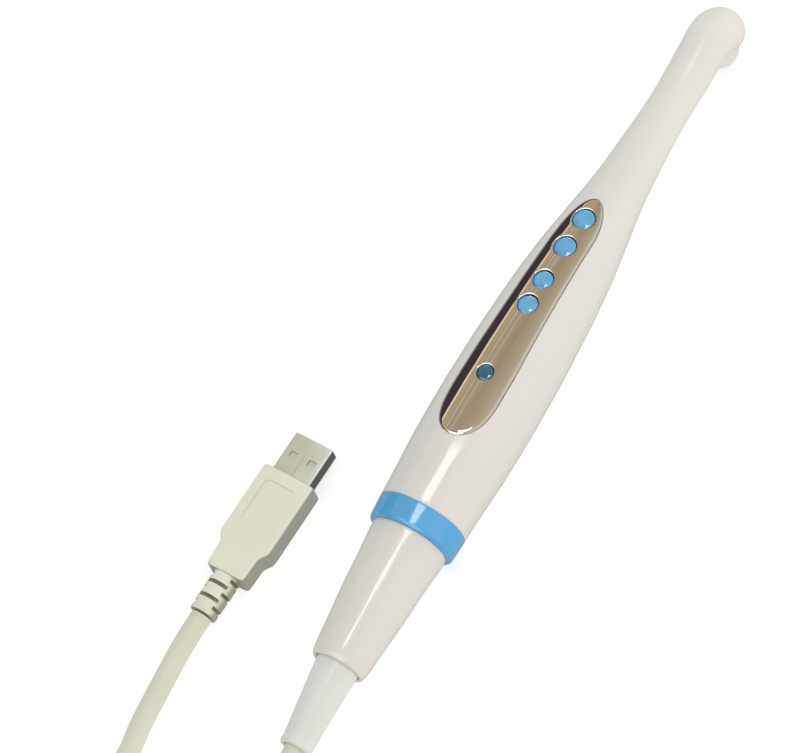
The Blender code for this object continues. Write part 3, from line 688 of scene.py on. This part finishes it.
def key_tilt():
    """Tilt of the plane that the buttons share."""
    x_a, x_b = BUTTONS[0][0], BUTTONS[-1][0]
    z_a, z_b = (centre_z(x) + body_r(x) + PANEL_PROUD for x in (x_a, x_b))
    return math.atan2(z_b - z_a, x_a - x_b)


KEY_TILT = key_tilt()
ALONG = Vector((math.cos(KEY_TILT), 0, -math.sin(KEY_TILT)))
OUT = Vector((math.sin(KEY_TILT), 0, math.cos(KEY_TILT)))


def tilted(top, out_dir, along_dir):
    """Placement for pieces turned about a leaning axis through a point."""
    def place(h, r, turn):
        beside = Vector((0, r * math.sin(turn), 0))
        return top + out_dir * h + along_dir * (r * math.cos(turn)) + beside
    return place


KEYS = [*BUTTONS, (LIGHT_X, LIGHT_D)]
LENS_HOLE_TOP, LENS_HOLE_FOOT, LENS_HOLE_R = -2.8, -12.0, RING_R + 0.08
LEAF_GAP, LEAF_CUT = 0.1, (16.0, 32.0)

upper = half_shell("body_upper", 1)
lower = half_shell("body_lower", -1)
ring_place = upright(LENS_X, HEAD_Z)
cut(lower, revolve([(LENS_HOLE_FOOT, 0), (LENS_HOLE_FOOT, LENS_HOLE_R),
                    (LENS_HOLE_TOP, LENS_HOLE_R), (LENS_HOLE_TOP, 0)], ring_place, 128),
    "lens_opening")
leaf = leaf_edge(LEAF_GAP, 60)
cut(upper, loft([[(p.x - X_MID, p.y, z) for p in leaf] for z in LEAF_CUT]), "leaf_opening")


# ---------------------------------------------------------------- chrome panel
# (distance in from the rim, or out from a hole, and height above the panel's crown)
RIM_STEPS = [(0.0, -0.34), (0.05, -0.24), (0.14, -0.15), (0.28, -0.08), (0.45, -0.035),
             (0.65, -0.01), (0.9, 0.0)]
LIP_STEPS = [(0.0, -0.26), (0.05, -0.16), (0.12, -0.085), (0.22, -0.03), (0.36, 0.0)]
GRID, GRID_ROWS, GRID_CLEAR = 0.5, 14, 0.15
HOLE_SIDES = 72
PANEL_SHARP = 0.9
FAR_AWAY = 1e9


def outline_distance(spots, outline):
    """Distance from each spot to the nearest side of a closed outline."""
    spots, a = np.array(spots), np.array(outline)
    best = np.full(len(spots), FAR_AWAY)
    for p, q in zip(a, np.roll(a, -1, axis=0)):
        d = q - p
        t = np.clip(((spots - p) @ d) / (d @ d), 0, 1)
        best = np.minimum(best, np.hypot(*(spots - p - t[:, None] * d).T))
    return best


def hole_reach(key):
    """Radius of the panel's hole for a (station, diameter) cap."""
    return key[1] / 2 + HOLE_GAP


def panel_heights(spots):
    """Height of each spot of the panel below its crown: rounded rim and hole lips."""
    rim = outline_distance(spots, [tuple(p) for p in leaf_edge(0.0)])
    heights = np.interp(rim, *zip(*RIM_STEPS))
    spots = np.array(spots)
    for key in KEYS:
        gap = np.hypot(spots[:, 0] - key[0], spots[:, 1]) - hole_reach(key)
        heights = np.minimum(heights, np.interp(gap, *zip(*LIP_STEPS)))
    return heights


def panel():
    """The polished leaf with its holes, meshed flat and then laid over the body."""
    points, edges = [], []

    def add_loop(loop):
        first = len(points)
        points.extend(Vector(p) for p in loop)
        edges.extend((first + k, first + (k + 1) % len(loop)) for k in range(len(loop)))

    loops = [leaf_edge(-inset) for inset, _ in RIM_STEPS]
    angles = [2 * math.pi * k / HOLE_SIDES for k in range(HOLE_SIDES)]
    for key in KEYS:
        for grow, _ in LIP_STEPS:
            r = hole_reach(key) + grow
            loops.append([(key[0] + r * math.cos(a), r * math.sin(a)) for a in angles])
    for loop in loops:
        add_loop(loop)
    start, end = PANEL_HALF_WIDTH[0][0], PANEL_HALF_WIDTH[-1][0]
    rows = int((end - start) / GRID)
    spots = [(start + (i + 0.5) * GRID, j * GRID) for i in range(rows)
             for j in range(-GRID_ROWS, GRID_ROWS + 1)]
    inward = outline_distance(spots, [tuple(p) for p in leaf_edge(0.0)])
    lip = LIP_STEPS[-1][0] + GRID_CLEAR
    for (x, y), clear in zip(spots, inward > RIM_STEPS[-1][0] + GRID_CLEAR):
        near_hole = any(math.hypot(x - key[0], y) < hole_reach(key) + lip for key in KEYS)
        if clear and abs(y) < smooth(PANEL_HALF_WIDTH, x) and not near_hole:
            points.append(Vector((x, y)))
    flat, _, faces, _, _, _ = delaunay_2d_cdt(points, edges, [], 0, 1e-5)
    heights = panel_heights([tuple(p) for p in flat])

    def kept(face):
        cx = sum(flat[v].x for v in face) / len(face)
        cy = sum(flat[v].y for v in face) / len(face)
        if abs(cy) > smooth(PANEL_HALF_WIDTH, cx):
            return False
        return all(math.hypot(cx - key[0], cy) > hole_reach(key) * 0.999 for key in KEYS)

    bm = bmesh.new()
    top = [bm.verts.new(on_body(p.x, p.y, PANEL_PROUD + h)) for p, h in zip(flat, heights)]
    under = [bm.verts.new(on_body(p.x, p.y, PANEL_PROUD - PANEL_THICK)) for p in flat]
    for face in faces:
        if kept(face):
            bm.faces.new([top[v] for v in face])
            bm.faces.new([under[v] for v in reversed(face)])
    twin = dict(zip(top, under))
    for edge in [e for e in bm.edges if len(e.link_faces) == 1 and e.verts[0] in twin]:
        p, q = edge.verts
        bm.faces.new([p, q, twin[q], twin[p]])
    for vert in [v for v in bm.verts if not v.link_faces]:
        bm.verts.remove(vert)
    piece(bm, "key_panel", "chrome", nodes=["chrome_panel"], sharp=PANEL_SHARP)


panel()

# ---------------------------------------------------------------- button caps and indicator
CROWN = -0.25
CAP_DROP, CAP_POWER, CAP_STEPS, CAP_EASE, CAP_SHOULDER = 0.47, 3.2, 12, 0.02, -0.86
FLANGE_TOP, FLANGE_FOOT, FLANGE_WIDE = -3.7, -4.3, 0.6
STEM_FOOT, STEM_R = -5.0, 1.1
for number, (x, diameter) in enumerate(BUTTONS, start=1):
    r = diameter / 2
    top = on_body(x, 0.0, PANEL_PROUD)
    profile = [(CROWN, 0.0)]
    for k in range(1, CAP_STEPS + 1):
        s = k / CAP_STEPS
        profile.append((CROWN - CAP_DROP * s ** CAP_POWER, (r - CAP_EASE) * s))
    profile += [(CAP_SHOULDER, r), (FLANGE_TOP, r), (FLANGE_TOP, r + FLANGE_WIDE),
                (FLANGE_FOOT, r + FLANGE_WIDE), (FLANGE_FOOT, STEM_R), (STEM_FOOT, STEM_R),
                (STEM_FOOT, 0.0)]
    piece(revolve(profile, tilted(top, OUT, ALONG), 72), f"key_cap_{number}", "cap_blue",
          f"button_{number}", [f"button_cap_{number}"])

LIGHT_DROP, LIGHT_STEPS, LIGHT_R = 0.35, 10, LIGHT_D / 2
light_profile = [(CROWN, 0.0)]
light_profile += [(CROWN - LIGHT_DROP * (k / LIGHT_STEPS) ** 3, LIGHT_R * k / LIGHT_STEPS)
                  for k in range(1, LIGHT_STEPS + 1)]
light_profile += [(-3.2, LIGHT_R), (-3.2, 2.9), (-3.8, 2.9), (-3.8, 1.4), (-13.4, 1.4),
                  (-13.4, 0.0)]
piece(revolve(light_profile, tilted(on_body(LIGHT_X, 0.0, PANEL_PROUD), Vector((0, 0, 1)),
                                    Vector((1, 0, 0))), 64),
      "light_window", "smoke_blue", nodes=["indicator_lens"])

# ---------------------------------------------------------------- tail: ring, sleeve, boot
TRIM_CORNERS = [(40.03, 12.05), (40.6, 12.6), (43.5, 12.77), (47.0, 12.95), (47.14, 12.75),
                (47.14, 10.4), (40.03, 10.4)]
TRIM_ROUNDING = [0.3, 0.6, 3.0, 0.25, 0.1, 0.1, 0.1]
piece(revolve(rounded(TRIM_CORNERS, TRIM_ROUNDING), sides=144), "tail_ring", "ring_blue",
      nodes=["blue_ring"])
SLEEVE = [(0.9, 7.85), (3.6, 8.36), (6.9, 8.6), (13.6, 9.2), (20.3, 9.8), (30.2, 10.4),
          (38.0, 11.05), (39.3, 11.12)]
SLEEVE_STEP = 0.74
sleeve_profile = [(0.0, 7.0), (0.04, 7.25), (0.2, 7.5), (0.5, 7.72)]
for k in range(52):
    x = SLEEVE[0][0] + k * SLEEVE_STEP
    sleeve_profile.append((x, smooth(SLEEVE, x)))
sleeve_profile += [(39.85, 11.07), (40.0, 10.92), (40.0, 8.9), (24.0, 8.9), (24.0, 7.5),
                   (12.1, 7.5), (12.1, 6.55), (6.0, 6.55), (0.3, 6.55), (0.05, 6.75)]
piece(revolve(sleeve_profile, sides=144), "rear_sleeve", "pearl_white", nodes=["tail_sleeve"])
BOOT = [(-22.4, 4.58), (-18.0, 4.85), (-12.0, 5.25), (-6.0, 5.7), (0.0, 6.2)]
BOOT_STEP = 0.8
boot_profile = [(-24.4, 3.6), (-24.4, 4.2), (-24.3, 4.45), (-24.0, 4.68), (-23.5, 4.8),
                (-23.1, 4.76), (-22.8, 4.62)]
for k in range(29):
    x = BOOT[0][0] + k * BOOT_STEP
    boot_profile.append((x, smooth(BOOT, x)))
boot_profile += [(4.5, 6.2), (12.4, 6.2), (12.4, 7.1), (15.0, 7.1), (15.0, 3.35), (9.0, 3.35),
                 (4.5, 3.35), (0.0, 3.35), (-6.0, 3.35), (-12.0, 3.35), (-18.0, 3.35),
                 (-23.9, 3.35), (-24.2, 3.42)]
piece(revolve(boot_profile, sides=96), "boot", "boot_clear", nodes=["cord_boot"])

# ---------------------------------------------------------------- lens ring
RIM_CORNERS = [(-3.2, RING_R), (-9.2, RING_R), (-9.2, 4.6), (-8.2, 4.6), (-8.2, 4.3), (-3.2, 4.3)]
RIM_ROUNDING = [0.1, 0.7, 0.15, 0.1, 0.05, 0.1]
piece(revolve(rounded(RIM_CORNERS, RIM_ROUNDING, 8), ring_place, 128), "lens_rim", "ring_clear",
      nodes=["lens_ring"])


# ---------------------------------------------------------------- plug
def plug_loop(x, half_w, half_t, power, count=128):
    """Section across the plug: 2 is an ellipse, larger powers are squarer."""
    out = []
    for k in range(count):
        a = 2 * math.pi * (k + 0.5) / count
        out.append(at_plug(x, half_w * squared(math.cos(a), 2 / power),
                           half_t * squared(math.sin(a), 2 / power)))
    return out


# (distance along the plug, half width, half thickness, power)
PLUG_SECTIONS = [
    (-0.3, 3.55, 3.55, 2), (-0.2, 3.75, 3.75, 2), (0.1, 3.92, 3.9, 2), (6.0, 4.0, 3.95, 2),
    (12.0, 4.1, 3.97, 2), (12.03, 5.2, 3.4, 7), (12.12, 5.6, 3.7, 8), (12.3, 5.85, 3.86, 9),
    (12.6, 6.02, 3.96, 10), (13.2, 6.1, 4.0, 11), (14.4, 6.15, 4.0, 11), (18.8, 6.25, 4.0, 11),
    (19.3, 6.38, 4.0, 11), (19.8, 6.6, 4.0, 11), (20.4, 6.98, 4.0, 11), (20.9, 7.4, 4.0, 11),
    (21.4, 7.74, 4.0, 11), (22.0, 7.95, 4.0, 11), (22.8, 8.06, 4.0, 11), (24.0, 8.1, 4.0, 11),
    (43.4, 8.1, 4.0, 11), (43.8, 8.05, 3.96, 11), (44.05, 7.93, 3.86, 10), (44.17, 7.78, 3.7, 9),
    (44.2, 7.55, 3.5, 8)]
RELIEF_FROM, RELIEF_TO, RELIEF_SKIN = 0.5, 11.9, 3.8
SLOT_OUT, SLOT_WIDE, SLOT_DEEP, SLOT_HALF, SLOT_CORNER = 3.6, 6.0, 2.6, 0.55, 0.15
POCKET_FROM, POCKET_TO, POCKET_GAP = 38.0, 46.0, 0.05
RECESS_FROM, RECESS_TO, RECESS_HALF, RECESS_CORNER = 26.8, 40.6, 4.9, 1.6
RECESS_FLOOR, RECESS_TOP = 3.85, 4.6


def plug_box(x0, x1, y0, y1, z0, z1, corner, steps=6):
    """Box in the plug's frame with its four upright edges rounded."""
    outline = []
    for cx, cy, start in ((x1, y1, 0), (x0, y1, 90), (x0, y0, 180), (x1, y0, 270)):
        sx = cx - math.copysign(corner, cx - (x0 + x1) / 2)
        sy = cy - math.copysign(corner, cy - (y0 + y1) / 2)
        for k in range(steps + 1):
            a = math.radians(start + 90 * k / steps)
            outline.append((sx + corner * math.cos(a), sy + corner * math.sin(a)))
    return loft([[at_plug(x, y, z) for x, y in outline] for z in (z0, z1)])


def shade_slots(obj):
    """Faces inside the strain relief's slots take the darker slot look: painted shade in the
    slots.
    """
    obj.data.materials.append(LOOKS["plug_groove"])
    origin = at_plug(0, 0, 0)
    for face in obj.data.polygons:
        centre = face.center / MM - origin
        forward = centre.dot(at_plug(1, 0, 0) - origin)
        outward = math.hypot(centre.dot(at_plug(0, 1, 0) - origin), centre.z)
        if RELIEF_FROM < forward < RELIEF_TO and outward < RELIEF_SKIN:
            face.material_index = 1


body = piece(loft([plug_loop(*s) for s in PLUG_SECTIONS]), "plug_body", "plug_beige",
             nodes=["plug_overmould"])
slot_spots = [(x, s * SLOT_OUT, 0, SLOT_DEEP, SLOT_WIDE) for x in (2.0, 6.4, 10.8)
              for s in (-1, 1)]
slot_spots += [(x, 0, s * SLOT_OUT, SLOT_WIDE, SLOT_DEEP) for x in (4.2, 8.6) for s in (-1, 1)]
for n, (x, y, z, sy, sz) in enumerate(slot_spots):
    cut(body, plug_box(x - SLOT_HALF, x + SLOT_HALF, y - sy / 2, y + sy / 2, z - sz / 2,
                       z + sz / 2, SLOT_CORNER), f"slot_{n}")
shade_slots(body)
cut(body, plug_box(POCKET_FROM, POCKET_TO, -USB_W / 2 - POCKET_GAP, USB_W / 2 + POCKET_GAP,
                   -USB_T / 2 - POCKET_GAP, USB_T / 2 + POCKET_GAP, POCKET_GAP), "shell_pocket")
for face in (-1, 1):
    cut(body, plug_box(RECESS_FROM, RECESS_TO, -RECESS_HALF, RECESS_HALF, face * RECESS_FLOOR,
                       face * RECESS_TOP, RECESS_CORNER), "label_recess")


USB_CORNER, USB_CORNER_LEAST, USB_ARC = 0.4, 0.1, 6
# (distance along the plug, inset from the shell's outside), out to the rolled tip and back
SHELL_STEPS = [(USB_ROOT - USB_BURIED, 0.0), (USB_TIP - 0.12, 0.0), (USB_TIP - 0.03, 0.05),
               (USB_TIP, 0.12), (USB_TIP, 0.2), (USB_TIP - 0.03, 0.27), (USB_TIP - 0.12, USB_WALL),
               (USB_ROOT - USB_BURIED, USB_WALL)]
LATCH_FROM, LATCH_TO, LATCH_Y, LATCH_HALF, LATCH_CORNER = 49.2, 51.0, 3.0, 1.15, 0.2
SEAM_FROM, SEAM_TO, SEAM_HALF, SEAM_CORNER = 37.0, 51.2, 0.05, 0.02
SEAM_FLOOR, CUT_TOP, CUT_FOOT = 2.12, 3.0, 1.5


def usb_outline(inset):
    """Rounded rectangle of the metal shell, in the plug's own y and z."""
    out = []
    w, t = USB_W / 2 - inset, USB_T / 2 - inset
    r = max(USB_CORNER - inset, USB_CORNER_LEAST)
    for cy, cz, start in ((1, 1, 0), (-1, 1, 90), (-1, -1, 180), (1, -1, 270)):
        for k in range(USB_ARC + 1):
            a = math.radians(start + 90 / USB_ARC * k)
            out.append((cy * (w - r) + r * math.cos(a), cz * (t - r) + r * math.sin(a)))
    return out


shell = piece(loft([[at_plug(x, y, z) for y, z in usb_outline(inset)] for x, inset in SHELL_STEPS],
                   close_ends=False), "usb_shell", "steel", nodes=["plug_shell"])
for side in (-1, 1):
    for face in (-1, 1):
        cut(shell, plug_box(LATCH_FROM, LATCH_TO, side * LATCH_Y - LATCH_HALF,
                            side * LATCH_Y + LATCH_HALF, face * CUT_FOOT, face * CUT_TOP,
                            LATCH_CORNER), "latch_hole")
cut(shell, plug_box(SEAM_FROM, SEAM_TO, -SEAM_HALF, SEAM_HALF, SEAM_FLOOR, CUT_TOP, SEAM_CORNER),
    "shell_seam")

# ---------------------------------------------------------------- pieces kept from the frame
# a CAD node's material is named after its slot, which picks the look
for name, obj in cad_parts.items():
    if "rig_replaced" in obj or obj.type != "MESH":
        continue
    own = obj.data.materials[0].name.split(".")[0] if obj.data.materials else "dark_plastic"
    look = next((key for key in LOOKS if own.startswith(key)), "dark_plastic")
    for k in range(len(obj.material_slots)):
        obj.material_slots[k].material = LOOKS[look]


# ---------------------------------------------------------------- floor and studio light
FLOOR_SIZE, FLOOR_SQUARES = 15000.0, 24
FLOOR_PALE, FLOOR_GLOW = (0.60, 0.60, 0.60), 0.58
FLOOR_IN_GLOSS = (0.36, 0.35, 0.33)


def floor():
    """Pale floor that glows softly and looks greyer in the object's reflections."""
    bm = bmesh.new()
    bmesh.ops.create_grid(bm, x_segments=FLOOR_SQUARES, y_segments=FLOOR_SQUARES, size=FLOOR_SIZE)
    obj = piece(bm, "floor", None)
    look = Look("floor_white", FLOOR_PALE, 0.7)
    look.set(Emission_Color=(1, 1, 1, 1), Emission_Strength=FLOOR_GLOW)
    look.vary(3.0, 0.01)
    dim = look.nodes.new("ShaderNodeEmission")
    dim.inputs["Color"].default_value = (*FLOOR_IN_GLOSS, 1)
    mixed = look.nodes.new("ShaderNodeMixShader")
    look.links.new(look.nodes.new("ShaderNodeLightPath").outputs["Is Glossy Ray"],
                   mixed.inputs["Fac"])
    look.links.new(look.shader.outputs[0], mixed.inputs[1])
    look.links.new(dim.outputs[0], mixed.inputs[2])
    look.links.new(mixed.outputs[0], look.nodes["Material Output"].inputs["Surface"])
    obj.data.materials.append(look.mat)


floor()


def area(name, place, size, power):
    """Soft light that faces the middle of the floor and shows in no reflection."""
    data = bpy.data.lights.new(name, "AREA")
    data.shape = "RECTANGLE"
    data.size, data.size_y = size[0] * MM, size[1] * MM
    data.energy = power
    obj = bpy.data.objects.new(name, data)
    bpy.context.scene.collection.objects.link(obj)
    obj.location = Vector(place) * MM
    obj.rotation_euler = (-Vector(place)).to_track_quat("-Z", "Y").to_euler()
    obj.visible_glossy = False


area("key", (250, -900, 900), (700, 700), 2.2)
area("head_fill", (1100, 0, 650), (600, 600), 2.2)

# what mirrors see: (angle from the +Y horizon over the top to the -Y horizon, colour)
SURROUNDINGS = [
    (0, (0.052, 0.042, 0.06)), (33, (0.052, 0.042, 0.06)), (34.5, (1.1, 0.95, 0.70)),
    (37, (0.95, 0.78, 0.55)), (38.5, (0.40, 0.29, 0.19)), (41, (0.66, 0.54, 0.38)),
    (43, (0.34, 0.26, 0.18)), (46, (0.62, 0.52, 0.38)), (48, (0.42, 0.34, 0.24)),
    (54, (0.50, 0.42, 0.30)), (55.5, (0.70, 0.62, 0.48)), (57, (0.42, 0.34, 0.24)),
    (65, (0.48, 0.40, 0.29)), (67, (0.60, 0.52, 0.40)), (69, (0.46, 0.38, 0.27)),
    (84, (0.41, 0.33, 0.235)), (104, (0.46, 0.39, 0.285)), (122, (0.55, 0.49, 0.38)),
    (134, (0.68, 0.63, 0.54)), (180, (0.78, 0.75, 0.69)),
]
# the long lamp overhead: its middle, its half width at x = 0 and at x = STREAK_WIDE_AT
STREAK_ANGLE, STREAK_GLOW, STREAK_EDGE = 96.0, 8.0, 1.5
STREAK_THIN, STREAK_WIDE, STREAK_WIDE_AT = 3.4, 13.0, 0.2
STREAK_REAR, STREAK_FRONT = (-0.25, -0.1), (0.215, 0.185)
# the window behind the tail: where it starts and ends, in x and in parts of the half turn
WINDOW_GLOW, WINDOW_X = 2.2, (-0.24, -0.34)
WINDOW_LOW, WINDOW_HIGH = (0.25, 0.30), (0.72, 0.66)
COOL_SIDE = (0.715, 0.762, 0.752)
WARM_SIDE = (0.772, 0.72, 0.69)
SIDE_BLEND = (0.9, -0.9)
HALF_TURN = 180


def surroundings():
    """World light: a soft tint for everything, and a room of bands for what mirrors see."""
    world = bpy.data.worlds.new("world")
    bpy.context.scene.world = world
    world.use_nodes = True
    tree = world.node_tree
    tree.nodes.clear()

    def node(kind, **values):
        new = tree.nodes.new(kind)
        for key, value in values.items():
            setattr(new, key, value)
        return new

    def link(value, socket_in):
        if isinstance(value, (int, float)):
            socket_in.default_value = value
        else:
            tree.links.new(value, socket_in)

    def math_node(operation, *values):
        new = node("ShaderNodeMath", operation=operation)
        for value, socket_in in zip(values, new.inputs):
            link(value, socket_in)
        return new.outputs[0]

    def soft_step(value, start, end):
        new = node("ShaderNodeMapRange", interpolation_type="SMOOTHSTEP")
        for key, source in (("Value", value), ("From Min", start), ("From Max", end)):
            link(source, new.inputs[key])
        return new.outputs[0]

    direction = node("ShaderNodeSeparateXYZ")
    tree.links.new(node("ShaderNodeTexCoord").outputs["Generated"], direction.inputs[0])
    x, y, z = direction.outputs
    angle = math_node("DIVIDE", math_node("ARCTAN2", z, y), math.pi)
    ramp = node("ShaderNodeValToRGB")
    stops = ramp.color_ramp.elements
    while len(stops) < len(SURROUNDINGS):
        stops.new(0.5)
    for stop, (degrees, colour) in zip(stops, SURROUNDINGS):
        stop.position = degrees / HALF_TURN
        stop.color = (*colour, 1)
    tree.links.new(angle, ramp.inputs["Fac"])

    half_width = node("ShaderNodeMapRange")
    for key, value in (("Value", x), ("From Min", 0.0), ("From Max", STREAK_WIDE_AT),
                       ("To Min", STREAK_THIN / HALF_TURN), ("To Max", STREAK_WIDE / HALF_TURN)):
        link(value, half_width.inputs[key])
    off_centre = math_node("ABSOLUTE", math_node("SUBTRACT", angle, STREAK_ANGLE / HALF_TURN))
    beside = math_node("SUBTRACT", half_width.outputs[0], off_centre)
    inside = soft_step(beside, 0.0, STREAK_EDGE / HALF_TURN)
    ends = math_node("MULTIPLY", soft_step(x, *STREAK_REAR), soft_step(x, *STREAK_FRONT))
    streak = math_node("MULTIPLY", math_node("MULTIPLY", inside, ends), STREAK_GLOW)
    behind = math_node("MULTIPLY", soft_step(x, *WINDOW_X), soft_step(angle, *WINDOW_LOW))
    window = math_node("MULTIPLY", math_node("MULTIPLY", behind, soft_step(angle, *WINDOW_HIGH)),
                       WINDOW_GLOW)
    streak = math_node("ADD", streak, window)
    mirrored = node("ShaderNodeBackground")
    glow = node("ShaderNodeVectorMath", operation="ADD")
    tree.links.new(ramp.outputs["Color"], glow.inputs[0])
    tree.links.new(streak, glow.inputs[1])
    tree.links.new(glow.outputs[0], mirrored.inputs["Color"])

    tint = node("ShaderNodeMix", data_type="RGBA")
    link(soft_step(y, *SIDE_BLEND), tint.inputs[0])
    tint.inputs["A"].default_value = (*COOL_SIDE, 1)
    tint.inputs["B"].default_value = (*WARM_SIDE, 1)
    lit = node("ShaderNodeBackground")
    tree.links.new(tint.outputs["Result"], lit.inputs["Color"])

    paths = node("ShaderNodeLightPath")
    mixed = node("ShaderNodeMixShader")
    tree.links.new(paths.outputs["Is Glossy Ray"], mixed.inputs[0])
    tree.links.new(lit.outputs[0], mixed.inputs[1])
    tree.links.new(mirrored.outputs[0], mixed.inputs[2])
    out = node("ShaderNodeOutputWorld")
    tree.links.new(mixed.outputs[0], out.inputs["Surface"])


surroundings()
bpy.context.scene.view_settings.view_transform = "Standard"
